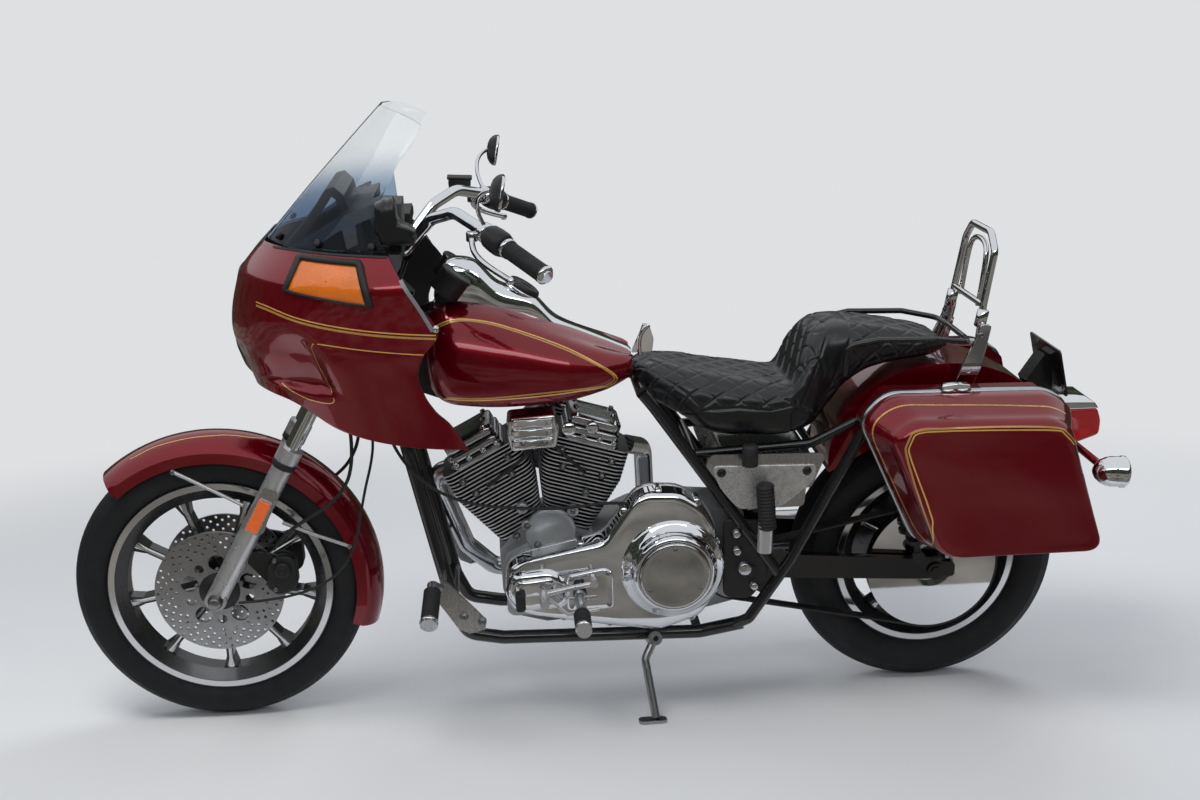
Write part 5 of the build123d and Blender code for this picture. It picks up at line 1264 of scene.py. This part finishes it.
def bag_trim(seam, middle, side, tag, body):
    """The silver band between shell and lid, and the latch on top."""
    grid = []
    for out, y in ((-2.0, 198), (3.0, 198.5), (4.6, 203), (4.6, 214), (3.0, 220), (-1.0, 221)):
        ring = inset(seam, -out, middle)
        ring[:, 1] = np.maximum(ring[:, 1], 436)
        grid.append(level(ring, side * y))
    outward(grid_piece("bag_trim_" + tag, grid, TRIM_SILVER, body, wrap=True))
    for number, x in enumerate((26, -6), 1):
        turned(f"bag_latch_foot_{number}_{tag}", [(16, 0), (16, 3), (14, 5), (0, 5)],
               (x, side * 214, 783), CHROME, body, UP, 20)
    latch = rounded_outline([(44, 784), (-26, 782), (-22, 796), (8, 800), (38, 797)], 5)
    plate(f"bag_latch_{tag}", [latch], side * 214, 10, CHROME, body, edge=2.5)


# ---------------------------------------------------------------- wheels, fork and fender
FORK_AXIS = (-sin(RAKE), 0, cos(RAKE))
FENDER_LINE = ((1812, 648), (1756, 673), (1691, 688), (1634, 692), (1578, 688), (1485, 667))
# The rings of holes in a disc: radius, number of holes, angle of the first one.
DISC_HOLES = ((97, 20, 0.0), (108, 30, 0.1), (119, 30, 0.0), (130, 30, 0.1), (138, 30, 0.0))


def on_fork(along, ahead=0.0, y=0.0):
    """A point by its distance up the fork line from the axle and ahead of that line."""
    return (WHEELBASE - along * sin(RAKE) + ahead * cos(RAKE), y,
            FRONT_R + along * cos(RAKE) + ahead * sin(RAKE))


def fork_outline(places, radius):
    """A rounded outline of (x, z) points given by (along, ahead) on the fork."""
    return rounded_outline([on_fork(*place)[::2] for place in places], radius)


def make_discs():
    """Drilled brake discs on black carriers, with their bolts."""
    x, _, z = FRONT_AXLE
    for side, tag in SIDES:
        out = (0, side, 0)
        outlines = [circle(x, z, 145, 120), circle(x, z, 40, 40)]
        for number, (cx, cz) in enumerate(circle(x, z, 69, 10, pi / 2)):
            outlines.append(circle(cx, cz, 10.5 if number % 2 else 19.5))
        for radius, count, start in DISC_HOLES:
            outlines += [circle(cx, cz, 3.4, 8) for cx, cz in circle(x, z, radius, count, start)]
        disc = plate("front_disc_" + tag, outlines, side * 55, 2.5, STEEL, "front_wheel", 0.5)
        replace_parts(disc, "front_discs")
        hub = [(46, -6), (46, 3), (43, 6), (37, 7), (35, 12), (20, 12), (20, 2)]
        turned("front_hub_" + tag, hub, (x, side * 55, z), SATIN, "front_wheel", out)
        screws("disc_bolt_" + tag, level(circle(x, z, 52, 5, 0.3), side * 58), 4.5, BOLT,
               "front_wheel", out)


def make_spokes(wheel, axle, inner, outer, half, count=9, rise=3.5):
    """The raised machined ridge down each cast spoke, flaring at the rim."""
    x, _, z = axle
    for side, tag in SIDES:
        points, faces = [], []
        for k in range(count):
            angle = 2 * pi * k / count - pi / 2
            c, s = cos(angle), sin(angle)
            faces += grid_faces(9, 4, start=len(points))
            for t in np.linspace(0, 1, 9):
                radius = inner + (outer - inner) * t
                wide = 4.2 + 9 * max(0, t - 0.75) ** 1.5 * 8 + 2.0 * (1 - t)
                lift = rise * (1 - 0.5 * t)
                for across, up in ((-1, 0), (-0.45, 1), (0.45, 1), (1, 0)):
                    points.append((x + radius * c - across * wide * s, side * (half + lift * up),
                                   z + radius * s + across * wide * c))
        outward_side(new_piece(f"{wheel}_spoke_{tag}", points, faces, RIDGE, wheel + "_wheel",
                               smooth=False), side)


def make_fork():
    """Boots, caps, the orange reflectors on their brackets, the fender's brace and its line."""
    boot = [(25, -16), (27, -14), (27, 2), (25, 4), (26.5, 8), (25, 12), (26, 16), (22, 22),
            (20, 30), (18.2, 31)]
    clamp = [(17, 0), (17, 8), (14, 11), (14, 20), (11, 23), (0, 23)]
    bracket = fork_outline([(300, -16), (300, 16), (268, 18), (200, 27), (186, 18), (186, -18),
                            (200, -27), (268, -18)], 6)
    tree = surface_tree_of("front_fender")
    for side, tag in SIDES:
        out = (0, side, 0)
        turned("fork_boot_" + tag, boot, on_fork(365, 0, side * 92), RUBBER, "steering",
               FORK_AXIS)
        turned("axle_clamp_" + tag, clamp, (WHEELBASE, side * 110, FRONT_R), BOLT, "steering",
               out, 24)
        for name, wide, long, y, half, material, edge in (
                ("reflector_", 13.5, 0, 122, 3.4, ORANGE, 1.2),
                ("reflector_back_", 15.12, 4.8, 118.5, 1.4, POLISHED, 0.5)):
            outline = fork_outline([(192 - long, wide), (192 - long, -wide), (268 + long, -wide),
                                    (268 + long, wide)], 4)
            plate(name + tag, [outline], side * y, half, material, "steering", edge)
        plate("reflector_bracket_" + tag, [bracket], side * 116.6, 1.2, BRUSHED, "steering", 0.4)
        tube("brace_front_" + tag, [(1714, side * 66, 624), (1640, side * 74, 586),
                                    (1567, side * 86, 546)], 4.2, POLISHED, "steering")
        tube("brace_rear_" + tag, [(1485, side * 78, 498), (1420, side * 72, 462),
                                   (1346, side * 62, 428)], 4.2, POLISHED, "steering")
        screws("brace_bolt_" + tag, [(1716, side * 67, 624), (1343, side * 63, 427)], 5, BOLT,
               "steering", out)
        stripe("fender_line_" + tag, tree, FENDER_LINE, side, 2.6, GOLD, "steering")


def surface_tree_of(node):
    """The surface of a CAD node in upright metres."""
    mesh = NODES[node].data
    back = LEANED.inverted() @ NODES[node].matrix_world
    return BVHTree.FromPolygons([back @ v.co for v in mesh.vertices],
                                [list(p.vertices) for p in mesh.polygons])


def make_calipers():
    """The calipers' rounded black bodies with their covers, arms and bolts."""
    x, z = WHEELBASE - 146, FRONT_R + 46
    plan = rounded_outline([(x - 32, z + 34), (x + 4, z + 46), (x + 34, z + 20),
                            (x + 36, z - 36), (x + 8, z - 56), (x - 34, z - 40)], 18)
    arm = rounded_outline([on_fork(96, -24)[::2], on_fork(128, -24)[::2], (x + 16, z + 44),
                           (x - 8, z + 30), (x - 8, z - 20), (x + 20, z - 46)], 10)
    for side, tag in SIDES:
        out = (0, side, 0)
        piece = plate("caliper_" + tag, [plan], side * 70, 12, SATIN, "steering", 5)
        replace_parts(piece, "front_calipers")
        turned("caliper_cap_" + tag, [(20, 0), (20, 5), (16, 9), (7, 10), (6, 8), (0, 8)],
               (x - 2, side * 80, z + 8), SATIN, "steering", out, 32)
        plate("caliper_inner_" + tag, [plan], side * 46, 5, SATIN, "steering", 2)
        screws("caliper_bolt_" + tag, [(x + 16, side * 81, z - 38), (x + 14, side * 81, z + 32)],
               5, BOLT, "steering", out)
        plate("caliper_arm_" + tag, [arm], side * 66, 4, BLACK, "steering", 1.5)


def make_wheels():
    """What is added to the wheels, the fork and the front fender."""
    make_discs()
    make_spokes("front", FRONT_AXLE, 60, 232, 16.6)
    make_spokes("rear", REAR_AXLE, 70, 196, 20.2)
    make_fork()
    make_calipers()


# ---------------------------------------------------------------- engine
PRIMARY_Y = 168.0
CLUTCH = (619.0, PRIMARY_Y, 377.0)
CRANK_X, CRANK_Z = 888.0, 335.0
# Outlines as (x, z), and the places of the primary cover's screws.
PRIMARY_EDGE = [(992, 330), (988, 388), (958, 412), (772, 450), (700, 548), (672, 560), (600, 556),
                (550, 522), (520, 468), (512, 380), (516, 320), (552, 254), (650, 222), (760, 240),
                (943, 276), (985, 296)]
PRIMARY_SCREWS = [(974, 382), (824, 434), (726, 512), (648, 552), (563, 526), (520, 430),
                  (524, 330), (575, 250), (664, 232), (762, 246), (866, 266), (968, 300)]
BULGE_EDGE = [(994, 334), (976, 386), (886, 392), (846, 338), (864, 298), (966, 296)]
RIDGE_EDGE = [(974, 352), (966, 372), (892, 378), (880, 352), (900, 334), (960, 334)]
HATCH_EDGE = [(856, 374), (772, 388), (754, 376), (754, 290), (858, 290)]
# The half section of a spark plug.
PLUG = [(7, -8), (7, 8), (9, 9), (9, 16), (5, 17), (5, 30), (0, 31)]


def domed(name, outline, base_y, steps, material):
    """A soft-edged cover: the outline drawn inwards as it rises, steps of (inset, height)."""
    grid = [level(inset(outline, amount), base_y + rise) for amount, rise in steps]
    last = grid[-1]
    middle = last.mean(axis=0)
    grid += [middle + (last - middle) * share for share in (0.7, 0.4, 0.15, 0.01)]
    return outward_side(grid_piece(name, grid, material, wrap=True))


def make_primary():
    """The chrome primary cover: rounded case, clutch dome, derby cover, starter bulge, hatch."""
    rounded = rounded_outline(PRIMARY_EDGE, 22, 8, 6)
    steps = [(-1, -68), (0, -66), (0, -16), (1.5, -11), (5, -6), (11, -2.2), (17, -0.4), (24, 0)]
    case = domed("primary_case", rounded, PRIMARY_Y, steps, CHROME)
    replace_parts(case, "primary_cover")
    domed("primary_flange", rounded, 112, [(-2.5, -6), (-3.5, -4), (-3.5, 4), (-2, 6), (4, 6)],
          POLISHED)
    dome = [(118, -6), (116, 1), (110, 6), (101, 10), (96, 16), (93, 25), (90, 33), (86, 37),
            (82, 38.5), (80, 38.5), (79, 35), (60, 35)]
    turned("clutch_dome", dome, CLUTCH, CHROME, count=96, slot="chrome")
    derby = [(78.5, 34), (78.5, 41), (76.5, 44), (72, 45.5), (69, 44.2), (66, 44.4), (50, 45.6),
             (25, 46.6), (0, 47)]
    cover = turned("derby", derby, CLUTCH, DERBY, count=96, slot="chrome")
    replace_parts(cover, "derby_cover")
    x, y, z = CLUTCH
    screws("derby_screws", level(circle(x, z, 64, 3, pi / 2), y + 44), 4.2, BOLT, height=4)
    domed("starter_bulge", rounded_outline(BULGE_EDGE, 26, 8, 5), PRIMARY_Y,
          [(-5, -7), (-3, -1), (2, 6), (7, 11), (13, 13.6), (20, 14)], CHROME)
    domed("starter_ridge", rounded_outline(RIDGE_EDGE, 14, 6, 4), PRIMARY_Y + 12,
          [(-3, -2), (0, 2), (4, 6), (8, 8), (12, 8.6)], CHROME)
    domed("inspection_hatch", rounded_outline(HATCH_EDGE, 10, 6, 5), PRIMARY_Y,
          [(-1, -3), (0, 3), (2, 5.5), (5, 6.2)], CHROME)
    screws("hatch_screws", level([(848, 366), (766, 376), (764, 300), (848, 300)], 174), 4.2,
           BOLT, height=5)
    screws("primary_screws", level(PRIMARY_SCREWS, 152), 6, BOLT, height=8)
    for number, place in enumerate(level(PRIMARY_SCREWS, 153), 1):
        turned(f"primary_ear_{number}", [(11, -40), (11, -3), (9.5, 0), (0, 0)], place, CHROME,
               count=20)


def make_case():
    """The crankcase's round boss, its bolts and their pads, and the gearbox's side."""
    turned("case_boss", [(58, -6), (58, 5), (54, 9), (48, 9), (46, 5), (0, 5)], (888, 96, 452),
           CAST)
    screws("case_bolts", [(940, 104, 470), (918, 104, 424), (950, 98, 512), (836, 100, 500),
                          (965, 98, 444), (806, 96, 540)], 7, BOLT, height=8)
    for number, (x, z) in enumerate(((940, 470), (836, 500), (950, 512)), 1):
        turned(f"case_pad_{number}", [(13, -16), (13, 0), (11, 2), (0, 2)], (x, 100, z), CAST,
               count=24)
    for number, (x, z, r) in enumerate(((472, 446, 9), (470, 404, 9), (452, 360, 15),
                                        (430, 316, 9)), 1):
        turned(f"gearbox_plug_{number}", [(r + 3, -10), (r + 3, 2), (r, 4), (r, 8), (r - 3, 10),
                                          (0, 10)], (x, 148, z), SATIN_CHROME, count=18)
    side = rounded_outline([(500, 480), (410, 470), (398, 330), (440, 280), (500, 290)], 18)
    plate("gearbox_side", [side], 138, 6, SATIN, edge=3)


def bank_place(lean, up, across, y):
    """A point beside a cylinder: up its axis from the crank, ahead of it and out to the left."""
    return (CRANK_X + up * sin(lean) + across * cos(lean), y,
            CRANK_Z + up * cos(lean) - across * sin(lean))


def make_banks():
    """Head studs, rocker box layers, spark plugs and their leads."""
    for degrees, tag in zip(BANK_DEGS, ("front", "rear")):
        lean = radians(degrees)
        for number, (up, grow, tall) in enumerate(((326, 0, 15), (344, -3, 17), (364, -8, 20)), 1):
            share = 1 + grow / 90
            plan = rounded_outline([(across * share, out * share) for across, out in
                                    ((-66, -74), (66, -74), (66, 74), (-66, 74))], 20, 8, 6)
            grid = [[bank_place(lean, up + rise, *place) for place in inset(plan, inward)]
                    for inward, rise in ((3, 0), (0, 1.5), (0, tall - 5), (2, tall - 2),
                                         (6, tall))]
            middle = np.mean(grid[-1], axis=0)
            for share in (0.6, 0.2, 0.01):
                grid.append(middle + (np.array(grid[-1]) - middle) * share)
            box = grid_piece(f"rocker_{tag}_{number}", grid, CHROME_AGED, wrap=True)
            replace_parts(outward(box), "rocker_boxes")
        bolts = [bank_place(lean, 342, a, 70) for a in (-52, -18, 18, 52)]
        screws(f"rocker_bolts_{tag}", bolts, 5.5, CHROME, height=6)
        bolts = [bank_place(lean, 384, a, o) for a in (-44, 44) for o in (-56, 0, 56)]
        screws(f"rocker_caps_{tag}", bolts, 6, CHROME, axis=(sin(lean), 0, cos(lean)), height=6)
        for number, (up, across) in enumerate(((262, -46), (262, 46), (300, -58), (300, 58)), 1):
            turned(f"head_stud_{tag}_{number}", [(9, -6), (9, 3), (6, 5), (6, 9), (0, 9)],
                   bank_place(lean, up, across, 74), BOLT, count=12)
    # Each lead starts at its plug, by two offsets and depths, and ends behind the coil cover.
    for degrees, tag, tilt, starts, ends in (
            (BANK_DEGS[0], "front", 0.3, ((8, 106, 8), (-4, 124, 26)),
             ((930, 128, 650), (918, 120, 672))),
            (BANK_DEGS[1], "rear", -0.2, ((-6, 106, 8), (10, 126, 30)),
             ((870, 130, 664), (888, 120, 676)))):
        plug = bank_place(radians(degrees), 262, 4, 76)
        turned("plug_" + tag, PLUG, plug, STEEL, axis=(tilt, 1, 0.25), count=12)
        tube("lead_" + tag, [(plug[0] + x, y, plug[2] + z) for x, y, z in starts] + [*ends], 4.2,
             RUBBER)


def make_coil():
    """The faceted chrome cover between the banks, with its screws and the small knobs."""
    outline = rounded_outline([(974, 740), (872, 746), (864, 712), (870, 670), (970, 664),
                               (978, 700)], 8, 5, 4)
    cover = domed("coil_case", outline, 150, [(-1, -66), (0, -64), (0, -8), (1.5, -3), (5, 0)],
                  CHROME)
    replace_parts(cover, "coil_cover")
    for number, (low, high) in enumerate(((672, 692), (696, 716), (720, 738)), 1):
        strip = rounded_outline([(968, high), (878, high + 2), (878, low + 2), (968, low)], 5, 4, 3)
        domed(f"coil_facet_{number}", strip, 150, [(-1, -1), (0, 2), (2, 5), (5, 6)], CHROME)
    screws("coil_screws", [(944, 156, 684), (898, 156, 684)], 5, BOLT, height=5)
    turned("choke_knob", [(8, -14), (8, 6), (15, 8), (16, 14), (13, 18), (0, 19)],
           (842, 120, 706), CHROME, count=24)
    turned("breather_cap", [(10, -10), (10, 4), (14, 6), (14, 16), (10, 19), (0, 19)],
           (790, 112, 704), CHROME, count=24)


def make_controls():
    """The shift linkage, the ribbed rubbers of the highway, foot and passenger pegs, and a cap on
    the seat post."""
    toe = rounded_outline([(975, 348), (953, 350), (951, 308), (973, 306)], 10, 6, 4)
    domed("shift_rubber", toe, 180, [(0, -4), (0, 24), (2, 27), (6, 28)], RUBBER)
    tube("shift_rod", [(912, 214, 352), (860, 214, 300), (790, 206, 306)], 4.5, POLISHED,
         smooth=False)
    for side, tag in SIDES:
        start, end = Vector((1152, side * 222, 392)), Vector((1161, side * 330, 347))
        run = end - start
        ribs, at = ribbed(22.0, run.length - 14, 6.4, 19, 16.8, (3.2, 4.0, 5.4))
        turned("highway_rubber_" + tag, [(13.5, 20), *ribs, (19, at), (17, at + 2)], start,
               RUBBER, axis=run, count=24)
        turned("highway_cap_" + tag, [(20, at + 2), (20.5, at + 5), (18, at + 8), (0, at + 9)],
               start, CHROME, axis=run, count=24)
        screws("highway_bolt_" + tag, [(1050, side * 198, 286), (1090, side * 198, 300)], 8,
               BOLT, axis=(0, side, 0), height=7)
    peg_at, peg_axis = (829, 226, 302), (0.02, 1, 0.04)
    ribs, _ = ribbed(0.0, 70, 7.0, 19, 16.6, (3.4, 4.2, 5.8))
    turned("foot_peg", ribs, peg_at, RUBBER, axis=peg_axis, count=24)
    turned("foot_peg_cap", [(19, 71), (17, 75), (0, 76)], peg_at, CHROME, axis=peg_axis, count=24)
    ribs, at = ribbed(4.0, 108, 8.0, 20, 17.6, (3.6, 4.6, 6.4))
    turned("passenger_peg", [(14, 0), *ribs, (16, at), (0, at + 1)], (409, 190, 470), RUBBER,
           axis=(0.075, 0, 1), count=28)
    turned("seat_post_cap", [(14, -24), (18, -22), (18, 20), (15, 24), (0, 24)], (448, 176, 640),
           RUBBER, axis=UP, count=24)


def make_side_cover():
    """The brushed plate under the seat with its rolled rim and bolts, on both sides."""
    plan = rounded_outline([(530, 612), (290, 606), (300, 566), (372, 508), (470, 508),
                            (512, 560)], 16, 8, 6)
    for side, tag in SIDES:
        plate("cover_face_" + tag, [plan], side * 154, 3.2, ENGRAVED, edge=2.2)
        screws("cover_bolt_" + tag, [(508, side * 157, 596), (316, side * 157, 592)], 8.5, SATIN,
               axis=(0, side, 0), height=5)


def make_engine():
    """What is added to the engine, the gearbox and the foot controls."""
    make_primary()
    make_case()
    make_banks()
    make_coil()
    make_controls()
    make_side_cover()


# ---------------------------------------------------------------- bars, mirrors and dash
def bar_line(back, lift=0.0, ahead=0.0, side=1):
    """A point a distance back from the bar's end, lifted and moved ahead of the bar."""
    end = Vector((HEAD_X - 212, 383, 1100))
    run = (end - Vector((HEAD_X - 80, 226, 1174))).normalized()
    point = end - run * back
    return Vector((point.x + ahead, side * point.y, point.z + lift))


def make_grips():
    """Ribbed grips with chrome ends and collars, switch housings and levers."""
    ribs, at = ribbed(10.0, 104, 7.0, 18.6, 17.2, (3.8, 4.6, 6.2))
    # Each piece along the bar: its half section, material and number of faces round it.
    on_bar = (("grip_rubber_", [(15, 4), (20, 5), (20, 9), *ribs, (19.4, at), (19.4, at + 5)],
               RUBBER, 32),
              ("grip_cap_", [(19.6, at + 5), (20, at + 8), (17, at + 12), (9, at + 14),
                             (8, at + 12), (0, at + 12)], CHROME, 32),
              ("grip_collar_", [(15, -6), (20.5, -5), (21, 0), (19.5, 5)], CHROME, 32),
              ("switch_pod_", [(14, -58), (22, -57), (25, -52), (26.5, -36), (26.5, -18),
                               (24, -9), (18, -7)], SATIN, 32),
              ("clamp_ring_", [(14, -78), (20, -77), (21, -72), (21, -64), (19, -61)], CHROME,
               28))
    ball = [(0, -9), (5, -7.6), (8, -3.5), (9, 0), (8, 3.5), (5, 7.6), (0, 9)]
    pivot = [(11, -10), (12, -8), (12, 8), (10, 10), (0, 10)]
    for side, tag in SIDES:
        start, end = bar_line(125, side=side), bar_line(0, side=side)
        for name, section, material, count in on_bar:
            turned(name + tag, section, start, material, "steering", end - start, count)
        grip = bpy.data.objects["grip_rubber_" + tag]
        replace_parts(grip, "grips")
        root = bar_line(190, -4, 30, side)
        tip = bar_line(20, -14, 60, side)
        mid = bar_line(118, -14, 64, side)
        tube("lever_" + tag, [root, (root + mid) / 2 + Vector((6, 0, 0)), mid,
                              (mid + tip) / 2 + Vector((2, 0, -2)), tip], 6.2, CHROME, "steering")
        turned("lever_ball_" + tag, ball, tip, CHROME, "steering", UP, 16)
        turned("lever_pivot_" + tag, pivot, root, SATIN_CHROME, "steering", UP, 20)


# Rings of a mirror's parts: the outline's scale and the distance behind its middle.
MIRROR_BACK = ((0.02, -16), (0.35, -15), (0.65, -12), (0.88, -6), (1.0, 0), (1.02, 4), (0.99, 8),
               (0.93, 9.5), (0.90, 9), (0.88, 7.5), (0.02, 7.5))
MIRROR_RIM = ((0.97, 9.6), (1.01, 9.0), (1.035, 6.5), (1.03, 4), (1.0, 3))
MIRROR_GLASS = ((0.9, 8.4), (0.6, 8.4), (0.3, 8.4), (0.02, 8.4))


def make_mirrors():
    """Black teardrop mirrors with chrome rims on thin curved stems, and the brake reservoir."""
    outline = rounded_outline([(-52, 30), (-40, -30), (40, -34), (54, 22), (20, 38)], 24, 8, 6)
    facing = np.array((-1.0, 0, -0.18)) / 1.016
    across = np.array((0, 1.0, 0))
    rise = np.cross(facing, across)
    for side, tag in SIDES:
        centre = np.array((HEAD_X - 122.0, side * 330.0, 1262.0))

        def rings(table):
            """The mirror's outline at each scale and distance of a table."""
            return [[centre + across * a * share + rise * b * share + facing * deep
                     for a, b in outline] for share, deep in table]

        mirror = grid_piece("mirror_" + tag, rings(MIRROR_BACK), SATIN, "steering", wrap=True)
        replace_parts(outward(mirror), "hand_controls")
        outward_from(grid_piece("mirror_rim_" + tag, rings(MIRROR_RIM), CHROME, "steering",
                                wrap=True), centre)
        grid_piece("mirror_glass_" + tag, rings(MIRROR_GLASS), MIRROR, "steering", wrap=True)
        tube("mirror_stem_" + tag, [bar_line(188, 16, 4, side), (HEAD_X - 78, side * 262, 1210),
                                    (HEAD_X - 84, side * 296, 1256),
                                    centre + (14, -side * 14, 0)], 4.2, CHROME, "steering")
    reservoir = rounded_outline([(HEAD_X - 12, 1204), (HEAD_X - 66, 1200), (HEAD_X - 62, 1170),
                                 (HEAD_X - 14, 1168)], 8)
    plate("brake_reservoir", [reservoir], -275, 20, SATIN, "steering", 3)
    lid = rounded_outline([(HEAD_X - 10, 1209), (HEAD_X - 68, 1206), (HEAD_X - 68, 1200),
                           (HEAD_X - 10, 1203)], 2)
    plate("brake_lid", [lid], -275, 23, SATIN, "steering", 1.5)


def make_dash():
    """The soft pouch on the left inner wall and the gauge housings behind the bar."""
    plan = rounded_outline([(1219, 1238), (1182, 1246), (1176, 1198), (1146, 1186), (1144, 1154),
                            (1208, 1150), (1224, 1192)], 12, 8, 6)
    middle = plan.mean(axis=0)
    wave = np.sin(np.linspace(0, 26 * pi, len(plan)))[:, None]
    rings = []
    for grow, y in ((0.86, 236), (0.98, 240), (1.03, 250), (1.06, 262), (1.05, 276), (0.98, 288),
                    (0.86, 294), (0.6, 297), (0.3, 298), (0.02, 298)):
        ring = middle + (plan - middle) * grow
        fold = 1.6 * wave * (0.4 + 0.6 * (grow > 0.9))
        rings.append(level(ring + (ring - middle) / 60 * fold, y))
    outward(grid_piece("dash_pouch", rings, LEATHER, wrap=True, caps=(0,)))
    pod = [(32, -30), (35, -27), (35, 14), (37, 16), (37, 22), (33, 25), (30, 22), (0, 21)]
    for side, tag in SIDES:
        turned("gauge_" + tag, pod, (1084, side * 70, 1030), SATIN, axis=(-0.62, 0, 0.78),
               count=40)


def make_neck():
    """Black covers that close the space between the tank's nose and the fairing."""
    outline = rounded_outline([(1196, 940), (1120, 968), (1060, 940), (1050, 800), (1110, 758),
                               (1190, 790)], 24)
    for side, tag in SIDES:
        plate("neck_cover_" + tag, [outline], side * 46, 3, SATIN, edge=1.5)


def make_bars():
    """What is added to the handlebar, the dash and the steering neck."""
    make_neck()
    make_grips()
    make_mirrors()
    make_dash()


# ---------------------------------------------------------------- rear lamp, signals and bar
SIGNAL_AXIS = (-1, 0, -0.08)


def make_rear():
    """The tail lamp under its chrome hood and the bullet signals on their arm."""
    hood = rounded_outline([(-268, 697), (-374, 693), (-386, 676), (-300, 676)], 5, 5, 4)
    plate("tail_hood", [hood], 0, 63.5, CHROME, edge=3)
    lens = rounded_outline([(-272, 676), (-384, 676), (-394, 646), (-392, 612), (-340, 594),
                            (-300, 612)], 10)
    tail = plate("tail_lens", [lens], 0, 62, RED_LENS, edge=5)
    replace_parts(tail, "tail_lamp")
    bullet = [(10, -30), (19, -24), (27, -14), (32, -2), (34, 10), (34, 30), (36, 32), (36, 38),
              (33, 41), (30, 41)]
    glass = [(31, 39), (28, 44), (18, 48), (8, 50), (0, 50)]
    for side, tag in SIDES:
        centre = (-352, side * 205, 575)
        case = turned("signal_case_" + tag, bullet, centre, CHROME, axis=SIGNAL_AXIS,
                      slot="chrome")
        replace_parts(case, "rear_signals")
        turned("signal_glass_" + tag, glass, centre, RED_LENS, axis=SIGNAL_AXIS, count=32)
    tube("signal_arm", [(-352, -196, 577), (-352, 196, 577)], 9, CHROME, smooth=False)
    make_sissy_bar()


def make_sissy_bar():
    """Flat chrome uprights with clamps, and a round loop between them."""
    upright = rounded_outline([(-12, 742), (-56, 736), (-90, 858), (-98, 900), (-74, 904),
                               (-62, 866), (-34, 806)], 8)
    holes = [circle(-74, 878, 5, 16), circle(-50, 800, 6, 16), circle(-36, 764, 5, 16)]
    for side, tag in SIDES:
        plate("sissy_plate_" + tag, [upright, *holes], side * 120, 4.5, CHROME, edge=1.5)
        screws("sissy_bolts_" + tag, [(-74, side * 123, 878), (-36, side * 123, 764)], 7, BOLT,
               axis=(0, side, 0), height=6)
        turned("sissy_clamp_" + tag, [(10, -20), (13, -18), (13, 18), (10, 20)],
               (-80, side * 104, 912), CHROME, axis=(-0.2, 0, 1), count=24)
    tube("sissy_inner", [(-86, -60, 930), (-98, -62, 1030), (-104, -40, 1072), (-104, 40, 1072),
                         (-98, 62, 1030), (-86, 60, 930)], 6, CHROME)


make_camera()
make_stage()
dress_cad()
make_fairing()
make_screen()
make_tank()
make_seat()
make_nose_bracket()
make_bags()
make_wheels()
make_engine()
make_bars()
make_rear()
